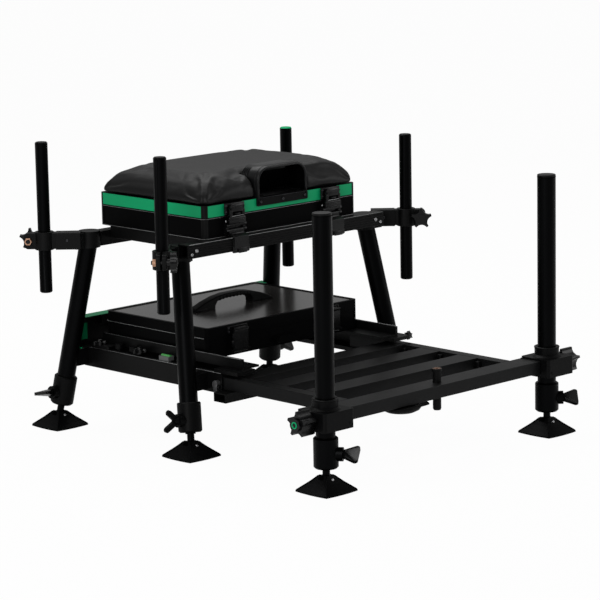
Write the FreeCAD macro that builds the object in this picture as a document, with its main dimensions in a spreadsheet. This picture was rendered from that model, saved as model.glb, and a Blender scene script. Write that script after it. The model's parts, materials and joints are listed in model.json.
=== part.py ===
import FreeCAD, Part
import math
import os
import re
import Sketcher

V = FreeCAD.Vector
X_AXIS, Y_AXIS, Z_AXIS = V(1, 0, 0), V(0, 1, 0), V(0, 0, 1)
SIDES = (("left", -1), ("right", 1))
ENDS = (("front", -1), ("rear", 1))

doc = FreeCAD.newDocument("FishingSeatBox")
sheet = doc.addObject("Spreadsheet::Sheet", "Sizes")

# Driving sizes in millimetres and degrees. Z is up, the floor is z 0 and the front of the box faces -Y.
SIZES = {
    # seat tray, lid and cushion
    "tray_wide": 413, "tray_deep": 309, "tray_mid": 187, "tray_low": 403.5, "tray_top": 443.5,
    "corner_round": 9, "wall": 3, "panel_inset": 1.2, "post_wide": 9.5,
    "lid_low": 443.8, "lid_top": 469.2, "band_thick": 1.4, "band_low": 445.4, "band_top": 468.4,
    "cushion_low": 469.2, "cushion_top": 521, "cushion_over": 2,
    "strap_half": 67, "strap_deep": 50, "strap_top": 529, "strap_thick": 6, "strap_front": 29,
    "plate_half": 69, "plate_low": 453, "plate_thick": 3.4, "screw_pitch": 60, "small_screw": 3.4,
    # latches
    "latch_x": 131, "latch_half": 26, "latch_base": 3, "barrel": 3, "lever_half": 19,
    "lever_thick": 3.2, "lid_lever_z": 426, "tray_lever_z": 416, "lever_axis_y": 25.5,
    "case_latch_x": 127, "case_lever_z": 178, "pin_dia": 2.4,
    # seat frame
    "rail_front": 13, "rail_back": 41, "rail_low": 376.5, "rail_high": 403.5, "rail_half": 268, "rail_wall": 2.5,
    "groove_deep": 1.3, "side_out": 205, "side_wide": 20, "side_low": 380,
    "back_in": 313, "back_out": 341, "back_low": 366, "back_high": 395,
    "cast_in": 230, "cast_low": 366, "cast_high": 399, "head_dia": 43, "elbow": 66,
    # rods and their clamps
    "rod_x": 333.5, "rod_mid": 188, "rod_y": 175, "rod_dia": 25, "rod_long": 300, "rod_wall": 1.5, "mark_down": 176,
    "rod_left_low": 281, "rod_right_front_low": 256, "rod_right_rear_low": 243,
    "clamp_dia": 38, "clamp_low": 367, "clamp_high": 403, "clamp_z": 385, "arm_wide": 28, "arm_end": 23,
    "running_gap": 0.05, "knob_dia": 42, "knob_thick": 12, "bolt_dia": 8, "bolt_out": 31, "nut_flat": 13.5, "nut_thick": 7,
    # legs and feet
    "leg_dia": 36, "leg_wall": 2, "leg_top_x": 252, "leg_top_y": 133,
    "leg_top_z": 390, "leg_foot_x": 295, "leg_foot_y": 201, "leg_end": 402,
    "cup_dia": 46, "cup_low": 47, "cup_high": 105, "cup_floor": 15, "boss_dia": 26,
    "stem_dia": 14, "ball_dia": 20, "ball_z": 24, "stem_top": 190, "collar_dia": 20, "collar_thick": 3,
    "pad_side": 80, "pad_high": 31, "pad_bow": 3, "pad_edge": 3,
    # footplate and front posts
    "plate_x": 236, "plate_rail": 24, "foot_low": 126, "foot_high": 150.5, "foot_rail_end": 60,
    "slat_wide": 50, "slat_one": -92.8, "slat_two": -190.1, "slat_three": -291.3, "slat_four": -405.3, "tube_wall": 2.5,
    "post_x": 306, "post_y": -389, "post_dia": 36, "post_wall": 2, "post_low": 60, "post_top": 512,
    "block_wide": 76, "block_deep": 72, "block_low": 118.5, "block_high": 154,
    "collar_top": 173, "collar_wide": 48, "cup_post_low": 43.5, "cup_post_high": 101,
    "post_knob_dia": 48, "post_knob_long": 36, "post_knob_z": 136,
    "insert_dia": 16, "insert_head": 20, "insert_low": 97, "insert_high": 177, "insert_y": -380, "thread_dia": 8,
    # base frame
    "base_out": 240, "base_wide": 32, "base_low": 117.5, "base_high": 158, "base_front": -43,
    "base_back": 365, "beam_half": 262, "beam_front": -76, "beam_low": 108, "beam_high": 125.9,
    "bracket_y": 19,
    # case and its runners
    "case_half": 207, "case_front": 31.7, "case_back": 331.7, "case_low": 169, "case_seam": 209.5,
    "case_top": 229.6, "seam_gap": 0.4, "runner_in": 170, "runner_up": 209, "runner_out": 215,
    "runner_low": 165, "runner_thick": 4, "runner_high": 185, "runner_front": -73, "runner_back": 335,
    "guide_in": 190, "guide_low": 158, "guide_front": -85, "guide_back": -20,
    "handle_y": 187, "handle_half": 104, "handle_top": 257, "handle_deep": 22, "handle_thick": 9,
    "pull_half": 30, "pull_z": 183, "pull_high": 14, "pull_out": 15,
    # rear panel
    "panel_half": 262, "panel_front": 345, "panel_back": 372, "panel_low": 158, "panel_high": 220,
    "panel_thick": 2.5,
    # the whole box is set back so that the origin lies under the middle of its outline
    "set_back": 10.5,
}
for row, (alias, value) in enumerate(SIZES.items(), start=1):
    sheet.set("A%d" % row, alias)
    sheet.set("B%d" % row, str(value))
    sheet.setAlias("B%d" % row, alias)
doc.recompute()
S = {alias: float(sheet.get(alias)) for alias in SIZES}
WORD = re.compile(r"[a-z][a-z_]+[a-z0-9]")


def cell(text):
    """Turn 'tray_wide / 2' into an expression that reads the sheet."""
    return WORD.sub(lambda m: "Sizes." + m.group(0) if m.group(0) in S else m.group(0), str(text))


def bind(item, **sizes):
    for prop, text in sizes.items():
        item.setExpression(prop.replace("__", "."), cell(text))
    return item


def move(item, x="0", y="0", z="0"):
    return bind(item, Placement__Base__x=x, Placement__Base__y=y, Placement__Base__z=z)


def box(x0, x1, y0, y1, z0, z1):
    item = doc.addObject("Part::Box", "Block")
    bind(item, Length="(%s) - (%s)" % (x1, x0), Width="(%s) - (%s)" % (y1, y0),
         Height="(%s) - (%s)" % (z1, z0))
    return move(item, x0, y0, z0)


def pair(side, near, far):
    """The two x ends of a piece that lies on one side, in rising order."""
    return ("-(%s)" % far, "-(%s)" % near) if side < 0 else (near, far)


TURNS = {"x": (Y_AXIS, 90), "y": (X_AXIS, -90), "z": (Z_AXIS, 0)}


def cylinder(axis, radius, x, y, z, length):
    """A cylinder that starts at x, y, z and runs along the positive axis."""
    item = doc.addObject("Part::Cylinder", "Round")
    bind(item, Radius=radius, Height=length)
    turn = TURNS[axis]
    item.Placement = FreeCAD.Placement(V(0, 0, 0), FreeCAD.Rotation(turn[0], turn[1]))
    return move(item, x, y, z)


def cone(r0, r1, x, y, z, length, axis="z"):
    item = doc.addObject("Part::Cone", "Taper")
    bind(item, Radius1=r0, Radius2=r1, Height=length)
    turn = TURNS[axis]
    item.Placement = FreeCAD.Placement(V(0, 0, 0), FreeCAD.Rotation(turn[0], turn[1]))
    return move(item, x, y, z)


def ball(radius, x, y, z):
    item = doc.addObject("Part::Sphere", "Ball")
    bind(item, Radius=radius)
    return move(item, x, y, z)


def fuse(*items):
    if len(items) == 1:
        return items[0]
    item = doc.addObject("Part::MultiFuse", "Joined")
    item.Shapes = list(items)
    item.Refine = True
    return item


def cut(base, *tools):
    item = doc.addObject("Part::Cut", "Shaped")
    item.Base = base
    item.Tool = fuse(*tools)
    item.Refine = True
    return item


def group(*items):
    item = doc.addObject("Part::Compound", "Set")
    item.Links = list(items)
    return item


def rounded(item, radius, axis="z", where=None):
    """Round the straight edges that run along one axis."""
    doc.recompute()
    way = {"x": X_AXIS, "y": Y_AXIS, "z": Z_AXIS}[axis]
    way = item.Placement.Rotation.multVec(way)
    picks = []
    for number, edge in enumerate(item.Shape.Edges, start=1):
        if edge.Curve.TypeId != "Part::GeomLine":
            continue
        line = (edge.Vertexes[-1].Point - edge.Vertexes[0].Point).normalize()
        if abs(abs(line.dot(way)) - 1) < 1e-6 and (where is None or where(edge.CenterOfMass)):
            picks.append((number, radius, radius))
    result = doc.addObject("Part::Fillet", "Eased")
    result.Base = item
    result.Edges = picks
    return result


def placed(item, placement):
    """Stand a finished piece in its own frame with a placement."""
    doc.recompute()
    holder = doc.addObject("Part::Compound", "Placed")
    holder.Links = [item]
    holder.Placement = placement
    return holder


def profile(role, points, length):
    """A PartDesign body: a closed outline on an origin plane, padded to a length."""
    body = doc.addObject("PartDesign::Body", "Body")
    sketch = body.newObject("Sketcher::SketchObject", "Outline")
    plane = [f for f in body.Origin.OriginFeatures if f.Role == role][0]
    sketch.AttachmentSupport = [(plane, "")]
    sketch.MapMode = "FlatFace"
    count = len(points)
    doc.recompute()
    values = [(reading(a), reading(b)) for a, b in points]
    for i in range(count):
        (ax, ay), (bx, by) = values[i], values[(i + 1) % count]
        sketch.addGeometry(Part.LineSegment(V(ax, ay, 0), V(bx, by, 0)), False)
    for i in range(count):
        sketch.addConstraint(Sketcher.Constraint("Coincident", i, 2, (i + 1) % count, 1))
    for i in range(count):
        for kind, slot, on_axis in (("DistanceX", 0, -2), ("DistanceY", 1, -1)):
            if abs(values[i][slot]) < 1e-9:
                sketch.addConstraint(Sketcher.Constraint("PointOnObject", i, 1, on_axis))
                continue
            number = sketch.addConstraint(Sketcher.Constraint(kind, i, 1, values[i][slot]))
            if re.search("[a-z]", str(points[i][slot])):
                name = "%s%d" % (kind[-1].lower() + "_at_", i)
                sketch.renameConstraint(number, name)
                sketch.setExpression("Constraints." + name, cell(points[i][slot]))
    pad = body.newObject("PartDesign::Pad", "Pad")
    pad.Profile = sketch
    bind(pad, Length=length)
    return body, sketch


def reading(text):
    """The value of a size expression, read through a cell of the sheet."""
    sheet.set("D1", "=" + re.sub(r"Sizes\.", "", str(text)))
    sheet.recompute()
    return float(sheet.get("D1"))


FINAL = {}


def keep(label, item):
    item.Label = label
    FINAL[label] = item
    return item


# Seat tray: a shallow open box that sits on the front and side rails.
def shell(y0, y1, z0, z1, half):
    return rounded(box("-(%s)" % half, half, y0, y1, z0, z1), S["corner_round"])


TRAY_Y0, TRAY_Y1 = "tray_mid - tray_deep / 2", "tray_mid + tray_deep / 2"
CASE_Y0, CASE_Y1 = "case_front", "case_back"


def panel_pockets(half, y0, y1, z0, z1, depth):
    """Shallow recesses that leave a proud post at each corner of a box."""
    inner = "(%s) - post_wide" % half
    return [
        box("-(%s)" % inner, inner, "(%s) - 5" % y0, "(%s) + (%s)" % (y0, depth), z0, z1),
        box("-(%s)" % inner, inner, "(%s) - (%s)" % (y1, depth), "(%s) + 5" % y1, z0, z1),
        box("-(%s) - 5" % half, "-(%s) + (%s)" % (half, depth), "(%s) + post_wide" % y0,
            "(%s) - post_wide" % y1, z0, z1),
        box("(%s) - (%s)" % (half, depth), "(%s) + 5" % half, "(%s) + post_wide" % y0,
            "(%s) - post_wide" % y1, z0, z1),
    ]


tray_outer = shell(TRAY_Y0, TRAY_Y1, "tray_low", "tray_top", "tray_wide / 2")
tray_room = box("-tray_wide / 2 + wall + panel_inset", "tray_wide / 2 - wall - panel_inset",
                TRAY_Y0 + " + wall + panel_inset", TRAY_Y1 + " - wall - panel_inset",
                "tray_low + wall", "tray_top + 5")
tray_box = cut(tray_outer, tray_room, *panel_pockets("tray_wide / 2", TRAY_Y0, TRAY_Y1, "tray_low + 4",
                                                    "tray_top - 5", "panel_inset"))

# Lid frame: a shallow cap with catches for the latches and the lid side of the hinges.
lid_outer = shell(TRAY_Y0, TRAY_Y1, "lid_low", "lid_top", "tray_wide / 2")
lid_room = box("-tray_wide / 2 + wall + 2", "tray_wide / 2 - wall - 2", TRAY_Y0 + " + wall + 2",
               TRAY_Y1 + " - wall - 2", "lid_low - 5", "lid_top - wall")
lid_shell = cut(lid_outer, lid_room, *panel_pockets("tray_wide / 2", TRAY_Y0, TRAY_Y1,
                                                    "band_low", "band_top", "band_thick + 0.4"))
catches = []
for name, side in SIDES:
    mid = "%d * latch_x" % side
    catches.append(box(mid + " - latch_half + 3", mid + " + latch_half - 3", TRAY_Y0 + " - latch_base",
                       TRAY_Y0 + " + 2.5", "446", "464"))
    catches.append(cylinder("x", "2.2", mid + " - latch_half + 6", TRAY_Y0 + " - latch_base - 1",
                            "456", "2 * latch_half - 12"))
HINGE_Y, HINGE_Z = "tray_mid + tray_deep / 2 + 3.5", "tray_top + 0.15"
CASE_HINGE_Y, CASE_HINGE_Z = "case_back + 3.5", "case_seam + 0.2"
hinge_lid, hinge_tray = [], []
for name, side in SIDES:
    mid = "%d * 120" % side
    leaf = box(mid + " - 9.7", mid + " + 9.7", TRAY_Y1 + " - 2.5", TRAY_Y1 + " + 1.5", "447.2", "462")
    knuckle = cylinder("x", "barrel", mid + " - 9.7", HINGE_Y, HINGE_Z, "19.4")
    neck = box(mid + " - 9.7", mid + " + 9.7", TRAY_Y1 + " + 0.2", TRAY_Y1 + " + 1.5",
               "tray_top + 0.4", "450")
    hole = cylinder("x", "pin_dia / 2 + running_gap", mid + " - 30", HINGE_Y, HINGE_Z, "60")
    hinge_lid.append(cut(fuse(knuckle, leaf, neck), hole))
    plate = box(mid + " - 22", mid + " + 22", TRAY_Y1 + "", TRAY_Y1 + " + 1.5", "425", "440")
    ends = []
    for low in ("- 22", "+ 10"):
        ends.append(cylinder("x", "barrel", mid + low, HINGE_Y, HINGE_Z, "12"))
        ends.append(box(mid + low, mid + low + " + 12", TRAY_Y1 + " + 0.5", TRAY_Y1 + " + 2",
                        "439", "tray_top"))
    pin = cylinder("x", "pin_dia / 2", mid + " - 22", HINGE_Y, HINGE_Z, "44")
    hinge_tray.append(fuse(plate, pin, *ends))
keep("lid_frame", fuse(lid_shell, *(catches + hinge_lid)))
keep("seat_tray", group(tray_box, *hinge_tray))

# Green band: four thin panels let into the sides of the lid frame.
bands = []
inner_x, inner_y0, inner_y1 = "tray_wide / 2 - post_wide", TRAY_Y0 + " + post_wide", TRAY_Y1 + " - post_wide"
front_y = TRAY_Y0 + " + 0.4"
edges = ["-(%s)" % inner_x]
for name, side in SIDES:
    edges += ["%d * latch_x - latch_half + 3" % side, "%d * latch_x + latch_half - 3" % side]
edges.append(inner_x)
for low, high in ((0, 1), (2, 3), (4, 5)):
    bands.append(box(edges[low], edges[high], front_y, front_y + " + band_thick", "band_low", "band_top"))
rear_y = TRAY_Y1 + " - 0.4 - band_thick"
for low, high in (("-(%s)" % inner_x, "-129.7"), ("-110.3", "110.3"), ("129.7", inner_x)):
    bands.append(box(low, high, rear_y, rear_y + " + band_thick", "band_low", "band_top"))
for name, side in SIDES:
    x0, x1 = pair(side, "tray_wide / 2 - 0.4 - band_thick", "tray_wide / 2 - 0.4")
    bands.append(box(x0, x1, inner_y0, inner_y1, "band_low", "band_top"))
keep("lid_band", group(*bands))


# Seat cushion: crowned top and sides that swell between the piped bottom and the crown.
def ring(inset, z, half, y0, y1, radius):
    x0, x1, a, b = -half + inset, half - inset, y0 + inset, y1 - inset
    r = max(radius - inset * 0.15, 4.0)
    k = r * (1 - math.sqrt(0.5))
    parts = []
    corners = ((x1 - r, a, x1 - k, a + k, x1, a + r), (x1, b - r, x1 - k, b - k, x1 - r, b),
               (x0 + r, b, x0 + k, b - k, x0, b - r), (x0, a + r, x0 + k, a + k, x0 + r, a))
    for i, c in enumerate(corners):
        before = corners[i - 1]
        parts.append(Part.makeLine(V(before[4], before[5], z), V(c[0], c[1], z)))
        parts.append(Part.Arc(V(c[0], c[1], z), V(c[2], c[3], z), V(c[4], c[5], z)).toShape())
    return Part.Wire(parts)


over = S["cushion_over"]
half_x = S["tray_wide"] / 2 + over
y_near, y_far = S["tray_mid"] - S["tray_deep"] / 2 - over, S["tray_mid"] + S["tray_deep"] / 2 + over
low, high = S["cushion_low"], S["cushion_top"]
rise = high - low
levels = ((3.0, 0.0), (0.5, 0.10), (0.0, 0.28), (2.5, 0.50), (8.0, 0.68), (19.0, 0.84), (38.0, 0.95),
          (70.0, 1.0))
rings = [ring(inset, low + rise * part, half_x, y_near, y_far, 14.0) for inset, part in levels]
foam = doc.addObject("Part::Feature", "Foam")
foam.Shape = Part.makeLoft(rings, True, True)
notch = box("-strap_half - 3", "strap_half + 3", TRAY_Y0 + " - 20", "strap_front + strap_deep + 2",
            "cushion_low - 5", "cushion_top + 20")
keep("seat_cushion", cut(foam, notch))

# Carry strap: a moulded arch over the notch in the front of the cushion, with its fixing plate.
arch = rounded(box("-strap_half", "strap_half", "strap_front", "strap_front + strap_deep",
                   "cushion_low", "strap_top"), 26.0, "y", lambda p: p.z > 500)
arch_hole = rounded(box("-strap_half + strap_thick", "strap_half - strap_thick", "strap_front - 10",
                        "strap_front + strap_deep + 10", "cushion_low + 6", "strap_top - strap_thick"),
                    16.0, "y", lambda p: p.z > 500)
keep("carry_strap", cut(arch, arch_hole))
strap_plate = rounded(box("-plate_half", "plate_half", TRAY_Y0 + " - plate_thick", TRAY_Y0, "plate_low",
                          "lid_top"), 3.0, "y")
keep("strap_plate", group(strap_plate, *[cone("small_screw - 1.2", "small_screw", "%d * screw_pitch" % n,
                                         TRAY_Y0 + " - plate_thick - 1.4", "461", "1.4", "y")
                                    for n in (-1, 0, 1)]))

# Latches on the seat: a base plate on the tray, one lever up to the lid and one down to the rail.
plates, screws = [], []
for name, side in SIDES:
    mid = "%d * latch_x" % side
    base = rounded(box(mid + " - latch_half", mid + " + latch_half", TRAY_Y0 + " - latch_base", TRAY_Y0,
                       "407", "437"), 2.0, "y")
    cheeks = []
    for near, far in (("- latch_half", "- lever_half - 0.5"), ("+ lever_half + 0.5", "+ latch_half")):
        for z_name in ("lid_lever_z", "tray_lever_z"):
            cheeks.append(cylinder("x", "barrel + 0.6", mid + near, "lever_axis_y", z_name,
                                   "latch_half - lever_half - 0.5"))
        cheeks.append(box(mid + near, mid + far, "lever_axis_y", TRAY_Y0 + " - latch_base + 0.5",
                          "tray_lever_z - 3.6", "lid_lever_z + 3.6"))
    pins = [cylinder("x", "pin_dia / 2", mid + " - latch_half + 1", "lever_axis_y", z_name,
                     "2 * latch_half - 2") for z_name in ("lid_lever_z", "tray_lever_z")]
    plates.append(fuse(base, *(cheeks + pins)))
    for n in (-1, 1):
        screws.append(cone("1.4", "2.6", mid + " + %d * 21" % n, TRAY_Y0 + " - latch_base - 1.2",
                           "433.5", "1.2", "y"))
keep("latch_plates", group(*plates))


def lever(mid, axis_z, points, hole_y="lever_axis_y", half="lever_half"):
    """A toggle lever: a side outline padded across, with its roll and pin bore."""
    body, sketch = profile("YZ_Plane", points, "2 * (%s)" % half)
    body.Placement = FreeCAD.Placement(V(0, 0, 0), FreeCAD.Rotation())
    move(body, "%s - (%s)" % (mid, half))
    roll = cylinder("x", "barrel", "%s - (%s)" % (mid, half), hole_y, axis_z, "2 * (%s)" % half)
    bore = cylinder("x", "pin_dia / 2 + running_gap", "%s - (%s) - 2" % (mid, half), hole_y, axis_z,
                    "2 * (%s) + 4" % half)
    return cut(fuse(body, roll), bore)


for name, side in SIDES:
    mid = "%d * latch_x" % side
    up = [("lever_axis_y - 3", "lid_lever_z"), ("lever_axis_y - 0.6", "lid_lever_z"),
          ("lever_axis_y - 0.6", "460"), ("lever_axis_y - 2.4", "463.5"), ("lever_axis_y - 6", "463.5"),
          ("lever_axis_y - 6", "461"), ("lever_axis_y - 3.8", "458"), ("lever_axis_y - 4.2", "432")]
    keep(name + "_lid_latch", lever(mid, "lid_lever_z", up))
    down = [("lever_axis_y + 3", "tray_lever_z"), ("lever_axis_y + 3", "410"),
            ("lever_axis_y + 1", "405.5"), ("rail_front - 0.4", "404"), ("rail_front - 0.4", "375.6"),
            ("rail_front + 0.8", "375.6"), ("rail_front + 0.8", "373.4"), ("rail_front - 3", "373.4"),
            ("rail_front - 4.4", "376"), ("rail_front - 4.4", "405"), ("lever_axis_y - 3", "411"),
            ("lever_axis_y - 3", "tray_lever_z")]
    keep(name + "_tray_latch", lever(mid, "tray_lever_z", down))

# Leg frames: each leg leans outward, and its cup, stem and foot share its axis.
LEG = {}
for end_name, end in ENDS:
    for name, side in SIDES:
        foot = V(side * S["leg_foot_x"], S["rod_mid"] + end * S["leg_foot_y"], 0)
        top = V(side * S["leg_top_x"], S["rod_mid"] + end * S["leg_top_y"], S["leg_top_z"])
        up = (top - foot).normalize()
        across = (X_AXIS - up * X_AXIS.dot(up)).normalize()
        depth = up.cross(across)
        turn = FreeCAD.Rotation(across, depth, up, "ZXY")
        LEG[(name, end_name)] = (FreeCAD.Placement(foot, turn), side, end)


def leg_tool(place):
    return placed(cylinder("z", "leg_dia / 2", "0", "0", "-20", "leg_end + 20"), place)


legs = []
for place, side, end in LEG.values():
    tube = cut(cylinder("z", "leg_dia / 2", "0", "0", "cup_low + cup_floor", "leg_end - cup_low - cup_floor"),
               cylinder("z", "leg_dia / 2 - leg_wall", "0", "0", "0", "leg_end - 3"))
    legs.append(placed(tube, place))
keep("legs", group(*legs))

# Seat frame: grooved front rail, rear rail and two side rails.
grooves = [("rail_back", "rail_low"), ("rail_back", "rail_high"), ("rail_front", "rail_high")]
for n in range(5):
    z_top = 400.2 - n * 4.7
    grooves += [("rail_front", "%.2f" % z_top), ("rail_front + groove_deep", "%.2f" % (z_top - 0.5)),
                ("rail_front + groove_deep", "%.2f" % (z_top - 1.7)),
                ("rail_front", "%.2f" % (z_top - 2.2))]
grooves.append(("rail_front", "rail_low"))
rail_body, rail_sketch = profile("YZ_Plane", grooves, "2 * rail_half")
rail_body.Placement = FreeCAD.Placement(V(0, 0, 0), FreeCAD.Rotation())
move(rail_body, "-rail_half")
rail_room = box("-rail_half - 5", "rail_half + 5", "rail_front + groove_deep + rail_wall",
                "rail_back - rail_wall", "rail_low + rail_wall", "rail_high - rail_wall")
keep("front_rail", cut(rail_body, rail_room, *[leg_tool(LEG[(name, "front")][0]) for name, side in SIDES]))
side_rails = [cut(box(*pair(side, "side_out - side_wide", "side_out"), "rail_back", "back_in",
                      "side_low", "rail_high"),
                  box(*pair(side, "side_out - side_wide + 2.5", "side_out - 2.5"), "rail_back - 5",
                      "back_in + 5", "side_low + 2.5", "rail_high - 2.5")) for name, side in SIDES]
rear_rail = cut(box("-cast_in", "cast_in", "back_in", "back_out", "back_low", "back_high"),
                box("-cast_in - 5", "cast_in + 5", "back_in + rail_wall", "back_out - rail_wall",
                    "back_low + rail_wall", "back_high - rail_wall"))
keep("seat_frame_rails", group(*(side_rails + [rear_rail])))

# Corner castings: a round head on each leg top, a link to the rails and an arm out to the rod.
castings, clamps, nuts, arms = [], [], [], {}
half_turn = math.sqrt(0.5)
for key, (place, side, end) in LEG.items():
    name, end_name = key
    top = place.multVec(V(0, 0, S["clamp_z"] / math.cos(math.atan(math.hypot(
        S["leg_foot_x"] - S["leg_top_x"], S["leg_foot_y"] - S["leg_top_y"]) / S["leg_top_z"]))))
    rod_x, rod_y = side * S["rod_x"], S["rod_mid"] + end * S["rod_y"]
    angle = math.degrees(math.atan2(end, side))
    hub_place = FreeCAD.Placement(V(rod_x, rod_y, 0), FreeCAD.Rotation(Z_AXIS, angle))
    arms[key] = hub_place
    elbow_x = "rod_x - elbow * %.6f" % half_turn
    head = cylinder("z", "head_dia / 2", "%.4f" % top.x, "%.4f" % top.y, "cast_low", "cast_high - cast_low")
    link_y = ("rail_back", "rail_back + 28") if end < 0 else ("back_in", "back_out")
    link = rounded(box(*pair(side, "cast_in", elbow_x + " + 6"), *link_y, "back_low", "back_high + 2"), 3.0)
    arm = placed(rounded(box("-elbow - 6", "-arm_end", "-arm_wide / 2", "arm_wide / 2", "clamp_low + 0.5",
                             "clamp_high - 1"), 3.0, "x"), hub_place)
    tools = [leg_tool(place)]
    if end < 0:
        tools.append(box("-rail_half", "rail_half", "rail_front - 5", "rail_back", "rail_low",
                         "rail_high + 5"))
    castings.append(cut(fuse(head, link, arm), *tools))
    hub = fuse(cylinder("z", "clamp_dia / 2", "0", "0", "clamp_low", "clamp_high - clamp_low"),
               box("-arm_end", "0", "-11", "11", "clamp_low + 2", "clamp_high - 2"),
               rounded(box("0", "bolt_out + 9", "-10", "10", "clamp_low + 2", "clamp_high - 2"), 9.0, "y",
                       lambda p: p.x > 30))
    bore = cylinder("z", "rod_dia / 2 + running_gap", "0", "0", "clamp_low - 5", "60")
    slot = box("8", "bolt_out + 16", "-1.6", "1.6", "clamp_low - 5", "clamp_high + 5")
    bolt_hole = cylinder("y", "bolt_dia / 2 + running_gap", "bolt_out", "-20", "clamp_z", "40")
    clamps.append(placed(cut(hub, bore, slot, bolt_hole), hub_place))
    # The knob points away from the middle of the box and the nut towards it.
    toward = side * end
    nut = doc.addObject("Part::Prism", "Hexagon")
    nut.Polygon = 6
    bind(nut, Circumradius="nut_flat / 1.732", Height="nut_thick")
    nut.Placement = FreeCAD.Placement(V(0, 0, 0), FreeCAD.Rotation(X_AXIS, -90))
    move(nut, "bolt_out", "10" if toward < 0 else "-10 - nut_thick", "clamp_z")
    nut_hole = cylinder("y", "bolt_dia / 2 + running_gap", "bolt_out", "-30", "clamp_z", "60")
    nuts.append(placed(cut(nut, nut_hole), hub_place))
keep("corner_castings", group(*castings))
keep("rod_clamps", group(*clamps))
keep("clamp_nuts", group(*nuts))


def star(radius, count, thick, start="0"):
    """A hand knob along local Y with pointed lobes between hollow flutes."""
    flutes = []
    for n in range(count):
        angle = math.radians(90 + (n + 0.5) * 360.0 / count)
        flutes.append(cylinder("y", "(%s) * 0.63" % radius, "(%s) * 1.25 * %.5f" % (radius, math.cos(angle)),
                               "(%s) - 1" % start, "(%s) * 1.25 * %.5f" % (radius, math.sin(angle)),
                               "(%s) + 2" % thick))
    return cut(cylinder("y", radius, "0", start, "0", thick), *flutes)


# Clamp knobs: five lobes and a bolt that runs through both ears into the nut.
for key, hub_place in arms.items():
    name, end_name = key
    side, end = LEG[key][1], LEG[key][2]
    toward = side * end
    knob = fuse(star("knob_dia / 2", 5, "knob_thick", "17"),
                cylinder("y", "7", "0", "10", "0", "8"),
                cylinder("y", "8", "0", "17", "0", "knob_thick + 1.5"),
                cylinder("y", "bolt_dia / 2", "0", "-19.5", "0", "32"))
    turn = FreeCAD.Rotation(Z_AXIS, 0 if toward > 0 else 180)
    knob_place = hub_place.multiply(FreeCAD.Placement(V(S["bolt_out"], 0, S["clamp_z"]), turn))
    keep("%s_%s_clamp_knob" % (name, end_name), placed(knob, knob_place))

# Accessory rods: a tube with a rounded cap at each end and a fine scribed height mark.
ROD_LOW = {("left", "front"): "rod_left_low", ("left", "rear"): "rod_left_low",
           ("right", "front"): "rod_right_front_low", ("right", "rear"): "rod_right_rear_low"}
for key, low_name in ROD_LOW.items():
    side, end = LEG[key][1], LEG[key][2]
    x, y = "%d * rod_x" % side, "rod_mid + %d * rod_y" % end
    mark_z = low_name + " + rod_long - mark_down"
    mark = cut(cylinder("z", "rod_dia / 2 + 2", x, y, mark_z + " - 0.8", "0.8"),
               cylinder("z", "rod_dia / 2 - 0.3", x, y, mark_z + " - 2", "4"))
    tube = cut(cylinder("z", "rod_dia / 2", x, y, low_name + " + 6", "rod_long - 12"),
               cylinder("z", "rod_dia / 2 - rod_wall", x, y, low_name, "rod_long"), mark)
    caps = []
    for z0, way in ((low_name + " + 6", -1), (low_name + " + rod_long - 6", 1)):
        disc = cylinder("z", "rod_dia / 2", x, y, z0 if way > 0 else z0 + " - 4", "4")
        tip = cone(*(("rod_dia / 2 - 2", "rod_dia / 2") if way < 0 else ("rod_dia / 2", "rod_dia / 2 - 2")),
                   x, y, z0 + (" + 4" if way > 0 else " - 6"), "2")
        caps.append(fuse(disc, tip))
    keep("%s_%s_rod" % key, group(tube, *caps))

# Foot cups, wing bolts, stems and pads under the legs.
cups, wing_bolts = [], []


def wing_bolt(reach, roll):
    """A wing bolt along local X whose hub starts at the given reach, turned by roll round its axis."""
    shaft = cylinder("x", "3", "%s - 8" % reach, "0", "0", "10")
    hub = cone("8", "6", reach, "0", "0", "9", "x")
    wings = []
    for way in (-1, 1):
        wing = rounded(box("0", "30", "-5.5", "5.5", "-3", "3"), 5.4, "z", lambda p: p.x > 20)
        wings.append(placed(wing, FreeCAD.Placement(V(reading(reach) + 3.5, way * 2, 0),
                                                    FreeCAD.Rotation(Z_AXIS, way * 36))))
    bolt = fuse(shaft, hub, *wings)
    return placed(bolt, FreeCAD.Placement(V(0, 0, 0), FreeCAD.Rotation(X_AXIS, roll)))


def cup(low_name, high_name, boss_z, round_tool):
    body = fuse(cone("cup_dia / 2 - 3", "cup_dia / 2", "0", "0", low_name, "3"),
                cylinder("z", "cup_dia / 2", "0", "0", low_name + " + 3", "(%s) - (%s) - 5" % (high_name,
                                                                                            low_name)),
                cone("cup_dia / 2", "cup_dia / 2 - 2", "0", "0", high_name + " - 2", "2"),
                cylinder("x", "boss_dia / 2", "0", "0", boss_z, "cup_dia / 2 + 9"))
    return cut(body, round_tool, cylinder("z", "stem_dia / 2 + 0.1", "0", "0", low_name + " - 5", "100"),
               cylinder("x", "3", "cup_dia / 2 + 1", "0", boss_z, "20"))


def stem():
    return fuse(cylinder("z", "stem_dia / 2", "0", "0", "ball_z", "stem_top - ball_z"),
                ball("ball_dia / 2", "0", "0", "ball_z"))


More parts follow.
